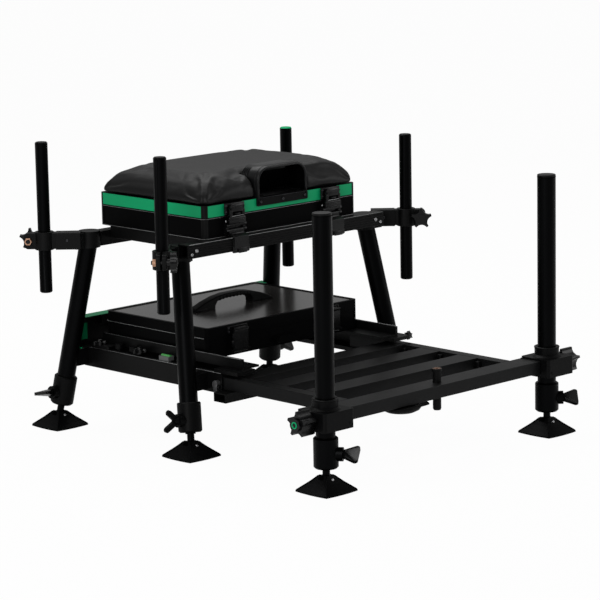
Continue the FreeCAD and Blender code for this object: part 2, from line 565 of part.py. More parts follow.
WING_ROLL = {("left", "front"): 75, ("left", "rear"): 22, ("right", "front"): 35, ("right", "rear"): 60}
for key, (place, side, end) in LEG.items():
    name, end_name = key
    tool = cylinder("z", "leg_dia / 2", "0", "0", "cup_low + cup_floor", "100")
    swing = FreeCAD.Placement(V(0, 0, 0), FreeCAD.Rotation(Z_AXIS, 0 if side > 0 else 180))
    cups.append(placed(placed(cup("cup_low", "cup_high", "cup_low + 24", tool), swing), place))
    bolt = placed(wing_bolt("cup_dia / 2 + 9", WING_ROLL[key]),
                  FreeCAD.Placement(V(0, 0, S["cup_low"] + 24), swing.Rotation))
    wing_bolts.append(placed(bolt, place))
    rod = fuse(stem(), cylinder("z", "collar_dia / 2", "0", "0", "cup_low - collar_thick",
                                  "collar_thick"))
    pin_at = place.multVec(V(0, 0, S["ball_z"]))
    pin = cylinder("x", "2", "%.4f - 13" % pin_at.x, "%.4f" % pin_at.y, "%.4f" % pin_at.z, "26")
    keep("%s_%s_stem" % key, fuse(placed(rod, place), pin))
    LEG[key] = (place, side, end, pin_at)
keep("leg_foot_cups", group(*cups))
keep("leg_wing_bolts", group(*wing_bolts))


def bowed_square(at, half, bow, z):
    """A square outline whose four sides swell outward by the bow."""
    points = [V(at.x + sx * half, at.y + sy * half, z) for sx, sy in ((-1, -1), (1, -1), (1, 1), (-1, 1))]
    sides = []
    for i in range(4):
        a, b = points[i], points[(i + 1) % 4]
        middle = (a + b) * 0.5
        out = V(middle.x - at.x, middle.y - at.y, 0).normalize()
        sides.append(Part.Arc(a, middle + out * bow, b).toShape())
    return Part.Wire(sides)


def pad(at):
    """A mud foot: four ridged slopes over a bowed square skirt, with a round socket for the ball."""
    x, y, z = "%.4f" % at.x, "%.4f" % at.y, "%.4f" % at.z
    half, high = S["pad_side"] / 2, S["pad_high"]
    levels = ((0, 1.0, 1.0), (S["pad_edge"], 1.0, 1.0), (high * 0.3, 0.79, 0.7), (high * 0.55, 0.56, 0.4),
              (high * 0.8, 0.36, 0.2), (high, 0.24, 0.1))
    skirt = doc.addObject("Part::Feature", "Skirt")
    skirt.Shape = Part.makeLoft([bowed_square(at, half * wide, S["pad_bow"] * bow, level)
                                 for level, wide, bow in levels], True, True)
    mouth = cone("ball_dia / 2 + 0.3", "ball_dia / 2 + 2", x, y, z, "pad_high - %s + 1" % z)
    socket = ball("ball_dia / 2 + 0.3", x, y, z)
    pin_hole = cylinder("x", "2.1", x + " - 13.2", y, z, "26.4")
    lugs = [cylinder("x", "4.5", x + " %+.1f" % (8.5 if way > 0 else -12.5), y, z, "4") for way in (-1, 1)]
    # the mouth of the socket is open towards the top so that the pin can be dropped in
    return cut(fuse(skirt, *lugs), mouth, socket, pin_hole)


for key, (place, side, end, pin_at) in LEG.items():
    keep("%s_%s_pad" % key, pad(pin_at))

# Footplate: two side rails, four slats, and a block at each front corner.
def tube_along(way, x0, x1, y0, y1):
    """A rectangular tube of the footplate that runs along X or Y."""
    ends = ((x0 + " - 5", x1 + " + 5", "(%s) + tube_wall" % y0, "(%s) - tube_wall" % y1) if way == "x" else
            ("(%s) + tube_wall" % x0, "(%s) - tube_wall" % x1, y0 + " - 5", y1 + " + 5"))
    return cut(box(x0, x1, y0, y1, "foot_low", "foot_high"),
               box(*ends, "foot_low + tube_wall", "foot_high - tube_wall"))


plate_rails = [tube_along("y", *pair(side, "plate_x - plate_rail", "plate_x"), "slat_four + slat_wide",
                          "foot_rail_end") for name, side in SIDES]
slats = [tube_along("x", "-plate_x + plate_rail", "plate_x - plate_rail", slat, slat + " + slat_wide")
         for slat in ("slat_one", "slat_two", "slat_three")]
front_slat = tube_along("x", "-post_x + block_wide / 2", "post_x - block_wide / 2", "slat_four",
                        "slat_four + slat_wide")
blocks = []
for name, side in SIDES:
    x, y = "%d * post_x" % side, "post_y"
    body = rounded(box(x + " - block_wide / 2", x + " + block_wide / 2", y + " - block_deep / 2 - 1",
                       y + " + block_deep / 2 - 1", "block_low", "block_high"), 6.0)
    collar = [cone("collar_wide / 2 + 5", "collar_wide / 2", x, y, "block_high", "4"),
              cylinder("z", "collar_wide / 2", x, y, "block_high + 4", "collar_top - block_high - 6"),
              cone("collar_wide / 2", "collar_wide / 2 - 2", x, y, "collar_top - 2", "2")]
    bore = cylinder("z", "post_dia / 2 + running_gap", x, y, "block_low - 5", "80")
    boss = cylinder("x", "14", *(("-post_x - block_wide / 2 - 4",) if side < 0 else
                                 ("post_x + block_wide / 2",)), y, "post_knob_z", "4")
    if side < 0:
        thread = cylinder("x", "4.1", "-post_x - block_wide / 2 - 10", y, "post_knob_z", "30")
    else:
        thread = cylinder("x", "4.1", "post_x + block_wide / 2 - 20", y, "post_knob_z", "30")
    blocks.append(cut(fuse(body, boss, *collar), bore, thread))

# Front posts: tube, top cap, foot cup and wing bolt slide together in the block.
POST_BOSS = {"left": -55, "right": -45}
for name, side in SIDES:
    x, y = "%d * post_x" % side, "post_y"
    tube = cut(cylinder("z", "post_dia / 2", x, y, "cup_post_low + cup_floor", "post_top - 4 - cup_post_low"
                        " - cup_floor"),
               cylinder("z", "post_dia / 2 - post_wall", x, y, "0", "post_top"))
    cap = fuse(cylinder("z", "post_dia / 2", x, y, "post_top - 4", "3"),
               cone("post_dia / 2", "post_dia / 2 - 1", x, y, "post_top - 1", "1"))
    at = FreeCAD.Placement(V(side * S["post_x"], S["post_y"], 0), FreeCAD.Rotation(Z_AXIS, POST_BOSS[name]))
    tool = cylinder("z", "post_dia / 2", "0", "0", "cup_post_low + cup_floor", "100")
    foot_cup = placed(cup("cup_post_low", "cup_post_high", "cup_post_low + 26", tool), at)
    bolt = placed(placed(wing_bolt("cup_dia / 2 + 9", 25),
                         FreeCAD.Placement(V(0, 0, S["cup_post_low"] + 26), FreeCAD.Rotation())), at)
    keep(name + "_post", group(tube, cap, foot_cup, bolt))
    shaft_rod = fuse(stem(), cylinder("z", "collar_dia / 2", "0", "0", "cup_post_low - collar_thick",
                                        "collar_thick"))
    pin_at = V(side * S["post_x"], S["post_y"], S["ball_z"])
    pin = cylinder("x", "2", x + " - 13", y, "ball_z", "26")
    keep(name + "_post_stem", fuse(placed(shaft_rod, at), pin))
    keep(name + "_post_pad", pad(pin_at))
    # Side knob: five fluted lobes on a threaded bolt that presses on the post.
    lobes = star("post_knob_dia / 2", 5, "post_knob_long - 5")
    knob = fuse(lobes, cylinder("y", "post_knob_dia * 0.25", "0", "0", "0", "post_knob_long"),
                cylinder("y", "4", "0", "-20.5", "0", "24"))
    turn = FreeCAD.Rotation(Z_AXIS, 90 if side < 0 else -90)
    start = FreeCAD.Placement(V(side * (S["post_x"] + S["block_wide"] / 2 + 4.2), S["post_y"],
                                S["post_knob_z"]), turn)
    keep(name + "_post_knob", placed(knob, start))

# Accessory pin: a threaded socket with a wider head that stands in the front slat.
pin_hole = cylinder("z", "insert_dia / 2", "0", "insert_y", "insert_low", "100")
keep("footplate_frame", group(*(plate_rails + slats + [cut(front_slat, pin_hole)])))
pin_body = fuse(cone("insert_dia / 2 - 1.5", "insert_dia / 2", "0", "insert_y", "insert_low", "3"),
                cylinder("z", "insert_dia / 2", "0", "insert_y", "insert_low + 3", "insert_high - insert_low - 3"),
                cylinder("z", "insert_head / 2", "0", "insert_y", "insert_high - 5", "5"))
pin_thread = cylinder("z", "thread_dia / 2", "0", "insert_y", "insert_high - 20", "30")
keep("accessory_pin", cut(pin_body, pin_thread))

def bar(x_half, y0, y1, z0, z1):
    """A rectangular tube that lies along X."""
    return cut(box("-(%s)" % x_half, x_half, y0, y1, z0, z1),
               box("-(%s) - 5" % x_half, "(%s) + 5" % x_half, "(%s) + tube_wall" % y0,
                   "(%s) - tube_wall" % y1, "(%s) + tube_wall" % z0, "(%s) - tube_wall" % z1))


# Base frame: channels that open inward and guide the footplate rails, a front and a rear beam.
base = []
for name, side in SIDES:
    x0, x1 = pair(side, "base_out - base_wide", "base_out")
    outer = rounded(box(x0, x1, "base_front", "base_back", "base_low", "base_high"), 2.5, "y",
                    lambda p, s=side: p.x * s > 230)
    slot_x = pair(side, "base_out - base_wide - 5", "plate_x + 0.2")
    slot = box(*slot_x, "base_front - 5", "base_back - 10", "beam_high", "foot_high + 0.1")
    base.append(cut(outer, slot))
base.append(bar("beam_half", "beam_front", "base_front", "beam_low", "beam_high"))
base.append(bar("base_out - base_wide", "base_back - 35", "base_back", "base_low", "base_high - 4"))

# Leg brackets: short saddles that tie the base rails to the legs.
brackets = []
for key, (place, side, end, pin_at) in LEG.items():
    at_z = (S["base_low"] + S["base_high"]) / 2
    lean = (S["leg_foot_y"] - S["leg_top_y"]) / S["leg_top_z"]
    mid_y = S["rod_mid"] + end * (S["leg_foot_y"] - lean * at_z)
    lean_x = (S["leg_foot_x"] - S["leg_top_x"]) / S["leg_top_z"]
    mid_x = S["leg_foot_x"] - lean_x * at_z
    block = box(*pair(side, "base_out", "%.3f" % mid_x), "%.3f - 14" % mid_y, "%.3f + 14" % mid_y,
                "base_low + 5", "base_high - 3")
    brackets.append(cut(block, leg_tool(place)))
keep("leg_brackets", group(*brackets))

# Case: a shallow drawer box with a hinged lid.
case_outer = shell(CASE_Y0, CASE_Y1, "case_low", "case_seam", "case_half")
case_room = box("-case_half + wall + panel_inset", "case_half - wall - panel_inset",
                "case_front + wall + panel_inset", "case_back - wall - panel_inset", "case_low + wall",
                "case_seam + 5")
pull = fuse(box("-pull_half + pull_high / 2", "pull_half - pull_high / 2", "case_front - pull_out",
                "case_front + 2", "pull_z - pull_high / 2", "pull_z + pull_high / 2"),
            *[cylinder("y", "pull_high / 2", "%d * (pull_half - pull_high / 2)" % n,
                       "case_front - pull_out", "pull_z", "pull_out + 2") for n in (-1, 1)])
pull_hollow = box("-pull_half + 8", "pull_half - 8", "case_front - pull_out + 4", "case_front",
                  "pull_z - pull_high / 2 - 1", "pull_z + 2")
case_parts, lid_parts = [], []
for name, side in SIDES:
    mid = "%d * case_latch_x" % side
    case_parts.append(rounded(box(mid + " - 25.5", mid + " + 25.5", "case_front - latch_base",
                                  "case_front + 2", "172", "206"), 2.0, "y"))
    for near in ("- 25.5", "+ 19.5"):
        case_parts.append(cylinder("x", "barrel + 0.6", mid + near, "case_front - 7", "case_lever_z", "6"))
        case_parts.append(box(mid + near, mid + near + " + 6", "case_front - 7", "case_front - 2",
                              "case_lever_z - 3.6", "case_lever_z + 3.6"))
    case_parts.append(cylinder("x", "pin_dia / 2", mid + " - 24", "case_front - 7", "case_lever_z", "48"))
    lid_parts.append(box(mid + " - 22", mid + " + 22", "case_front - latch_base", "case_front + 2",
                         "212", "225"))
    lid_parts.append(cylinder("x", "2.2", mid + " - 19", "case_front - latch_base - 1", "217", "38"))
    up = [("case_front - 10", "case_lever_z"), ("case_front - 7.6", "case_lever_z"),
          ("case_front - 7.6", "220"), ("case_front - 9.4", "222.5"), ("case_front - 13", "222.5"),
          ("case_front - 13", "220"), ("case_front - 10.8", "217"), ("case_front - 11.2", "184")]
    keep(name + "_case_latch", lever(mid, "case_lever_z", up, "case_front - 7"))
    mid = "%d * 125" % side
    knuckle = cylinder("x", "barrel", mid + " - 9.7", CASE_HINGE_Y, CASE_HINGE_Z, "19.4")
    leaf = box(mid + " - 9.7", mid + " + 9.7", "case_back - 2", "case_back + 1.5", "213", "226")
    neck = box(mid + " - 9.7", mid + " + 9.7", "case_back + 0.2", "case_back + 1.5",
               "case_seam + 0.5", "216")
    hole = cylinder("x", "pin_dia / 2 + running_gap", mid + " - 30", CASE_HINGE_Y, CASE_HINGE_Z, "60")
    lid_parts.append(cut(fuse(knuckle, leaf, neck), hole))
    ends = [box(mid + " - 22", mid + " + 22", "case_back - 2", "case_back + 1.5", "190", "205.5"),
            cylinder("x", "pin_dia / 2", mid + " - 22", CASE_HINGE_Y, CASE_HINGE_Z, "44")]
    for low_x in ("- 22", "+ 10"):
        ends.append(cylinder("x", "barrel", mid + low_x, CASE_HINGE_Y, CASE_HINGE_Z, "12"))
        ends.append(box(mid + low_x, mid + low_x + " + 12", "case_back + 0.5", "case_back + 2",
                        "204", "case_seam"))
    case_parts.append(fuse(*ends))
case_shell = cut(case_outer, case_room, *panel_pockets("case_half", CASE_Y0, CASE_Y1, "case_low + 3",
                                                       "case_seam - 3", "panel_inset"))
keep("case_body", fuse(case_shell, cut(pull, pull_hollow), *case_parts))

lid_block = shell(CASE_Y0, CASE_Y1, "case_seam + seam_gap", "case_top", "case_half")
lid_hollow = box("-case_half + wall", "case_half - wall", "case_front + wall", "case_back - wall",
                 "case_seam - 5", "case_top - 4")
top_recess = rounded(box("-case_half + 7", "case_half - 7", "case_front + 7", "case_back - 7",
                         "case_top - 1.2", "case_top + 5"), 5.0)
keep("case_lid", fuse(cut(lid_block, lid_hollow, top_recess), *lid_parts))

# Carry handle on the case lid: a bowed grip between two feet.
grip = [("-handle_half", "case_top - 1.2"), ("-handle_half", "case_top + 5"), ("-76", "handle_top - 12"),
        ("-48", "handle_top - 4.5"), ("-22", "handle_top - 1"), ("22", "handle_top - 1"),
        ("48", "handle_top - 4.5"), ("76", "handle_top - 12"), ("handle_half", "case_top + 5"),
        ("handle_half", "case_top - 1.2"), ("50", "case_top - 1.2"), ("50", "case_top + 6"),
        ("44", "handle_top - handle_thick - 4.5"), ("20", "handle_top - handle_thick - 1"),
        ("-20", "handle_top - handle_thick - 1"), ("-44", "handle_top - handle_thick - 4.5"),
        ("-50", "case_top + 6"), ("-50", "case_top - 1.2")]
grip_body, grip_sketch = profile("XZ_Plane", grip, "handle_deep")
grip_body.Placement = FreeCAD.Placement(V(0, 0, 0), FreeCAD.Rotation())
move(grip_body, "0", "handle_y + handle_deep / 2")
keep("case_handle", grip_body)

# Runners that carry the case, and the guide plates between them and the base rails.
runners = []
for name, side in SIDES:
    floor = box(*pair(side, "runner_in", "runner_out"), "runner_front", "runner_back", "runner_low",
                "runner_low + runner_thick")
    rail_up = box(*pair(side, "runner_up", "runner_out"), "runner_front", "runner_back",
                  "runner_low", "runner_high")
    runners.append(fuse(floor, rail_up))
guides = []
for name, side in SIDES:
    for y0, y1 in (("guide_front", "guide_back"), ("290", "340")):
        guides.append(rounded(box(*pair(side, "guide_in", "base_out"), y0, y1, "guide_low", "runner_low"),
                              3.0))

# Knobs on the base: two that hold the footplate, and small ones that hold the case.
rail_knobs = []
for name, side in SIDES:
    for y in ("229", "272"):
        rail_knobs.append(fuse(cylinder("z", "5", "%d * 226" % side, y, "base_high", "5"),
                               cylinder("z", "9", "%d * 226" % side, y, "base_high + 5", "9")))
keep("rail_knobs", group(*rail_knobs))
keep("spirit_level", fuse(rounded(box("-235", "-217", "117", "145", "base_high", "base_high + 9"), 3.0),
                          cylinder("y", "4", "-226", "119", "base_high + 8", "24")))

# A turned knob on the right guide plate and a wing lever on the left base rail hold the footplate.
lock_at = FreeCAD.Placement(V(S["base_out"] + 0.2, -72, 161.5), FreeCAD.Rotation(Z_AXIS, -90))
keep("right_lock_knob", placed(fuse(star("9", 6, "9", "3"), cylinder("y", "5", "0", "3", "0", "9"),
                                    cylinder("y", "4", "0", "0", "0", "5"),
                                    cylinder("y", "2.2", "0", "-12", "0", "14")), lock_at))
lever_at = FreeCAD.Placement(V(-S["base_out"] - 0.2, -32, 137), FreeCAD.Rotation(Z_AXIS, 90))
wing = rounded(box("-5", "5", "2", "8", "-18", "0"), 4.9, "y", lambda p: p.z < -12)
keep("left_lock_lever", placed(fuse(cylinder("y", "7", "0", "0", "0", "9"), wing,
                                    cylinder("y", "4", "0", "-3.4", "0", "6")), lever_at))
lock_hole = cylinder("x", "2.3", "base_out - 30", "-72", "161.5", "40")
guides[2] = cut(guides[2], lock_hole)
keep("case_runners", group(*(runners + guides)))
lever_hole = cylinder("x", "4.1", "-base_out - 5", "-32", "137", "9")
base[0] = cut(base[0], lever_hole)

# Rear panel: a folded sheet that stands on the ends of the base rails, with a bar inside it.
sheet_outer = box("-panel_half", "panel_half", "panel_front", "panel_back", "panel_low", "panel_high")
sheet_inner = box("-panel_half - 5", "panel_half + 5", "panel_front - 5", "panel_back - panel_thick",
                  "panel_low + panel_thick", "panel_high - panel_thick")
rear_tools = [leg_tool(LEG[(name, "rear")][0]) for name, side in SIDES]
keep("rear_panel", cut(sheet_outer, sheet_inner, *rear_tools))
panel_bar = bar("side_out", "panel_front", "panel_back - panel_thick", "198", "panel_high - panel_thick")
keep("base_rails", group(*(base + [panel_bar])))

# Small pan-head screws of the fixed frame: latch plates, rail ends and castings.
for name, side in SIDES:
    screws.append(cone("2.2", "4", "%d * 245" % side, "rail_front - 1.6", "390", "1.6", "y"))
keep("frame_screws", group(*screws))
block_screws = []
for name, side in SIDES:
    block_screws.append(cone("1.6", "3", "%d * (post_x - 27)" % side,
                             "post_y - block_deep / 2 - 2.4", "128", "1.4", "y"))
keep("post_blocks", group(*(blocks + block_screws)))

for label in list(FINAL):
    piece = FINAL[label]
    piece.Label = label + "_shape"
    node = doc.addObject("Part::Compound", "Node")
    node.Links = [piece]
    node.Label = label
    move(node, "0", "set_back", "0")
    FINAL[label] = node
doc.recompute()
bad = [o.Name for o in doc.Objects if "Invalid" in o.State or "Error" in o.State]
if bad:
    raise RuntimeError("failed objects: %s" % ", ".join(bad))
os.makedirs("parts", exist_ok=True)
for label, item in FINAL.items():
    shape = item.Shape
    if shape.isNull() or not shape.isValid() or not shape.Solids:
        raise RuntimeError("bad shape: " + label)
for label, item in FINAL.items():
    item.Shape.exportStep("parts/%s.step" % label)
    bounds = item.Shape.BoundBox
    print("%-26s %2d solids  x %7.1f %7.1f  y %7.1f %7.1f  z %6.1f %6.1f" % (
        label, len(item.Shape.Solids), bounds.XMin, bounds.XMax, bounds.YMin, bounds.YMax,
        bounds.ZMin, bounds.ZMax))
print(len(FINAL), "nodes")
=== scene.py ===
import json
import math

import bmesh
import bpy
from mathutils import Matrix, Vector


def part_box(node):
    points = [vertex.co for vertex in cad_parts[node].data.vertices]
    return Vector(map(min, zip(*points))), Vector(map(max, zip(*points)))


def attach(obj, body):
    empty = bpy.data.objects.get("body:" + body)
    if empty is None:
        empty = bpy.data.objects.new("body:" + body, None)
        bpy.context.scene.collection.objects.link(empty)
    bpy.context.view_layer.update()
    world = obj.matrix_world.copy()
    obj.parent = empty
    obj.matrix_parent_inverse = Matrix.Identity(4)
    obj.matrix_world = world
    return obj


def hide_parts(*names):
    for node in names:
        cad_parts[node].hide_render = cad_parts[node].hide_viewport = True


bl_info = {
    "name": "Fishing seat box",
    "version": (1, 0, 0),
    "blender": (4, 5, 0),
    "location": "View3D > Sidebar > Seat box",
    "description": "Dresses the frame of a fishing seat box with its cushion, trim and finishes",
    "category": "Object",
}

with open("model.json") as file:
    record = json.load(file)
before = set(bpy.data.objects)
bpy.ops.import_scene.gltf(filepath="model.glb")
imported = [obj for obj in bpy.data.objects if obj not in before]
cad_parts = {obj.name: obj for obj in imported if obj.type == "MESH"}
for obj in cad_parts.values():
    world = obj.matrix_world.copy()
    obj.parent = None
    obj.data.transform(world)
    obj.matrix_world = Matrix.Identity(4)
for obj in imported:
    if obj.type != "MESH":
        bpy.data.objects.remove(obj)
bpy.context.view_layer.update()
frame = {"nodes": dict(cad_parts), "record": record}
NODES = frame["nodes"]
BODY_OF = {node: body for body, members in frame["record"]["behaviour"]["bodies"].items()
           for node in members}
SLOT_OF = {entry["node"]: entry.get("material_slot", entry["node"])
           for entry in frame["record"]["subparts"]}
SIDES = (("left", -1), ("right", 1))
WAYS = (-1, 1)
MM = 0.001
TO_FRONT = (0, -1, 0)
WHITE = (1, 1, 1, 1)


def seat_box(node):
    """The corners of a node as two vectors."""
    low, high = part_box(node)
    return Vector(low), Vector(high)


def middle(node):
    low, high = seat_box(node)
    return (low + high) / 2


# Places and sizes in millimetres. Z is up, the floor is z 0 and the front of the box faces -Y.
TRAY_FRONT, TRAY_DEEP = seat_box("seat_tray")[0].y / MM, 309
# just inside the front wall of the case, behind its lid's hooks
CASE_FRONT, CASE_DEEP = seat_box("case_lid")[0].y / MM + 10.2, 300
RAIL_FRONT = seat_box("front_rail")[0].y / MM
LATCH_X, CASE_LATCH_X = 131, 127
ROD_X, ROD_MID_Y, ROD_APART, ARM_Z = 333.5, 198.5, 175, 386
POST_X, POST_KNOB_Z = 306, 136
STAR_KNOB_X, STAR_KNOB_Y, STAR_KNOB_Z = 232, (213.5, 335.5), 167.5
SLAT_END_X, SLAT_ENDS_Y = 207.5, (-286, -185, -88)

# Half outlines of turned fittings, and the line of a pad's ridge: distance out and height
PIN_HEAD = ((0, 1.6), (1.8, 1.5), (2.9, 0.7), (3.1, -3), (0, -3))
PAD_NOTCH = ((0, 0.5), (6.4, 0.5), (6.8, 0), (6.4, -3), (0, -3))
PAD_RIDGE = ((39, 3.4), (31.4, 9.9), (22.4, 17.6), (14.6, 25.2), (10.6, 29.6))
KNOB_RING = ((6.4, 0), (6.4, 1.2), (4.2, 1.2), (4.2, 0))
KNOB_BOSS = ((0, 1.9), (2.4, 1.8), (3.4, 1.1), (3.6, 0), (0, 0))
CAP_RING = ((18.1, -5.6), (18.35, -5.2), (18.35, -4.4), (18.1, -4.0))
COLLAR_RING = ((19.2, 170.4), (24.6, 170.4), (24.9, 171.6), (24.4, 173.2), (19.4, 173.4),
               (19.2, 170.4))
SLAT_DOME = ((0, -14), (14, -13.6), (27, -11), (36, -6.5), (40, -1), (40, 0), (0, 0))
STAR_HUB = ((0, 8), (5.5, 7.6), (7, 6), (7, -5), (5, -9), (0, -9))

# Widths of broken edges in metres, and finishes that differ from a node's own slot
EDGE_WIDTH = {"case_handle": 0.0026, "strap_plate": 0.0008, "corner_castings": 0.0014,
              "rod_clamps": 0.0012, "leg_foot_cups": 0.001, "leg_brackets": 0.0012,
              "post_blocks": 0.0018, "footplate_frame": 0.0012, "base_rails": 0.0009,
              "frame_screws": 0.0003, "lid_band": 0.0003, "clamp_nuts": 0.0005,
              "case_runners": 0.0004, "rear_panel": 0.0005}
GRIP_EDGE, LATCH_EDGE, PADDLE_EDGE = 0.0015, 0.0009, 0.0012
EDGE_ANGLE = math.radians(32)
SURFACE = {"footplate_frame": "slat_metal", "strap_plate": "moulded_plastic",
           "left_post_knob": "knob_plastic"}


class Wire:
    """A shader value that can stand in a formula."""

    def __init__(self, shading, socket):
        self.shading, self.socket = shading, socket

    def __add__(self, other):
        return self.shading.maths("ADD", self, other)

    __radd__ = __add__

    def __sub__(self, other):
        return self.shading.maths("SUBTRACT", self, other)

    def __rsub__(self, other):
        return self.shading.maths("SUBTRACT", other, self)

    def __mul__(self, other):
        return self.shading.maths("MULTIPLY", self, other)

    __rmul__ = __mul__

    def size(self):
        return self.shading.maths("ABSOLUTE", self)

    def over(self, edge, soft):
        """0 below the edge and 1 above it, with a soft step."""
        return self.shading.node("ShaderNodeMapRange", {"interpolation_type": "SMOOTHSTEP"},
                                 {"Value": self, "From Min": edge - soft, "From Max": edge + soft})


class Shading:
    """A node tree that is written as formulas."""

    def __init__(self, tree):
        self.tree = tree
        tree.nodes.clear()

    def plug(self, value, target):
        """Link a value to a socket, or set a number or a colour on it."""
        if isinstance(value, Wire):
            self.tree.links.new(value.socket, target)
            return
        if target.type == "RGBA" and len(value) == 3:
            value = (*value, 1.0)
        target.default_value = value

    def node(self, kind, settings, sockets, output=0):
        item = self.tree.nodes.new(kind)
        for name, value in settings.items():
            setattr(item, name, value)
        for name, value in sockets.items():
            self.plug(value, item.inputs[name])
        return Wire(self, item.outputs[output])

    def maths(self, operation, first, second=0.5):
        return self.node("ShaderNodeMath", {"operation": operation}, {0: first, 1: second})

    def seen(self):
        """1 for what the camera sees directly."""
        return self.node("ShaderNodeLightPath", {}, {}, "Is Camera Ray")

    def end(self, kind, value):
        """Lead a value to the surface of a new output node."""
        self.plug(value, self.tree.nodes.new(kind).inputs["Surface"])


class Finish(Shading):
    """One procedural material with a single Principled shader."""

    def __init__(self, name):
        self.material = bpy.data.materials.new(name)
        self.material.use_nodes = True
        super().__init__(self.material.node_tree)
        self.shader = self.tree.nodes.new("ShaderNodeBsdfPrincipled")
        self.surface = Wire(self, self.shader.outputs[0])
        self.place = self.node("ShaderNodeTexCoord", {}, {}, "Object")

    def stretch(self, scale, turn=(0, 0, 0)):
        return self.node("ShaderNodeMapping", {},
                         {"Vector": self.place, "Scale": scale, "Rotation": turn})

    def noise(self, scale, detail, rough=0.5, vector=None):
        return self.node("ShaderNodeTexNoise", {},
                         {"Vector": vector or self.place, "Scale": scale, "Detail": detail,
                          "Roughness": rough})

    def cells(self, scale, feature="F1"):
        return self.node("ShaderNodeTexVoronoi", {"feature": feature},
                         {"Vector": self.place, "Scale": scale})

    def axis(self, name):
        return self.node("ShaderNodeSeparateXYZ", {}, {0: self.place}, name)

    def blend(self, mask, low, high):
        """A colour that goes from low to high with the mask."""
        return self.node("ShaderNodeMix", {"data_type": "RGBA"}, {0: mask, 6: low, 7: high}, 2)

    def shades(self, mask, colour, dark, light):
        """A colour that goes from its darker to its lighter tone with the mask."""
        return self.blend(mask, tone(colour, dark), tone(colour, light))

    def worn(self, cloud, marks, colour, light=1.3):
        """A clouded dark colour, rubbed pale at its marks."""
        return self.blend(marks, self.shades(cloud, colour, 0.75, light), tone(colour, 4.0))

    def bump(self, height, strength, depth):
        return self.node("ShaderNodeBump", {},
                         {"Strength": strength, "Distance": depth, "Height": height})

    def set(self, **sockets):
        for name, value in sockets.items():
            self.plug(value, self.shader.inputs[name.replace("_", " ")])
        self.end("ShaderNodeOutputMaterial", self.surface)
        return self.material


def tone(base, factor):
    """A colour made lighter or darker by a factor."""
    return tuple(min(1.0, part * factor) for part in base)


def anodised_metal(name, colour, gloss=0.34):
    """Black anodised tube: faint draw lines, small handling marks and dust in the grain."""
    f = Finish(name)
    lines = f.noise(900, 2, 0.6, f.stretch((1, 1, 0.03)))
    cloud = f.noise(14, 4)
    dust = f.noise(160, 5, 0.7).over(0.66, 0.06)
    marks = f.noise(60, 6, 0.75, f.stretch((1, 1, 0.2))).over(0.70, 0.03)
    return f.set(Base_Color=f.worn(cloud, dust * 0.15 + marks * 0.3, colour),
                 Roughness=cloud * 0.14 + marks * 0.15 + lines * 0.06 + (gloss - 0.08),
                 Metallic=0.85, Specular_IOR_Level=0.3,
                 Normal=f.bump(lines * 0.5 + marks * 0.4, 0.1, 0.0002))


def painted_frame(name, colour, gloss=0.42):
    """Powder coat: a fine orange peel, soft clouding and a few rubbed spots."""
    f = Finish(name)
    peel = f.noise(700, 2, 0.5)
    cloud = f.noise(11, 4)
    rub = f.noise(85, 7, 0.72).over(0.69, 0.035)
    return f.set(Base_Color=f.worn(cloud, rub * 0.3, colour, 1.35),
                 Roughness=cloud * 0.14 + rub * 0.1 + (gloss - 0.06), Metallic=0.2,
                 Specular_IOR_Level=0.16, Normal=f.bump(peel, 0.2, 0.00025))


def moulded_plastic(name, colour, gloss=0.5, shine=0.1):
    """Moulded nylon: a spark-eroded grain, flow shade and scuffs."""
    f = Finish(name)
    grain = f.cells(1300)
    fine = f.noise(2400, 2, 0.6)
    cloud = f.noise(22, 4)
    scuff = f.noise(120, 6, 0.8, f.stretch((1, 0.35, 1), (0.3, 0.5, 0.2))).over(0.7, 0.03)
    return f.set(Base_Color=f.worn(cloud, scuff * 0.3, colour), Specular_IOR_Level=shine,
                 Roughness=cloud * 0.12 + grain * 0.05 + scuff * 0.1 + (gloss - 0.08),
                 Normal=f.bump(grain * 0.6 + fine * 0.4, 0.25, 0.0002))


def gloss_panel(name, colour):
    """Smooth dark laminate with a broad shine, fine speckle and hairline scratches."""
    f = Finish(name)
    speck = f.noise(1500, 2, 0.6)
    cloud = f.noise(7, 3)
    hair = f.noise(30, 8, 0.85, f.stretch((1, 12, 1), (0, 0, 0.6))).over(0.68, 0.02)
    mottled = f.shades(cloud * 0.6 + speck * 0.4, colour, 0.82, 1.2)
    return f.set(Base_Color=f.blend(hair * 0.12, mottled, tone(colour, 2.5)),
                 Roughness=cloud * 0.08 + speck * 0.06 + hair * 0.08 + 0.16, Coat_Weight=0.55,
                 Coat_Roughness=0.16, Normal=f.bump(speck, 0.06, 0.0002))


def green_anodised(name, colour):
    """Green satin panel with a faint horizontal brush and soft cloud."""
    f = Finish(name)
    brush = f.noise(700, 3, 0.6, f.stretch((0.04, 0.04, 1)))
    cloud = f.noise(16, 4)
    nick = f.noise(140, 6, 0.8).over(0.71, 0.02)
    brushed = f.shades(cloud * 0.5 + brush * 0.5, colour, 0.86, 1.14)
    return f.set(Base_Color=f.blend(nick * 0.3, brushed, tone(colour, 0.35)),
                 Specular_IOR_Level=0.2, Roughness=brush * 0.16 + cloud * 0.1 + 0.36,
                 Normal=f.bump(brush, 0.12, 0.0002))


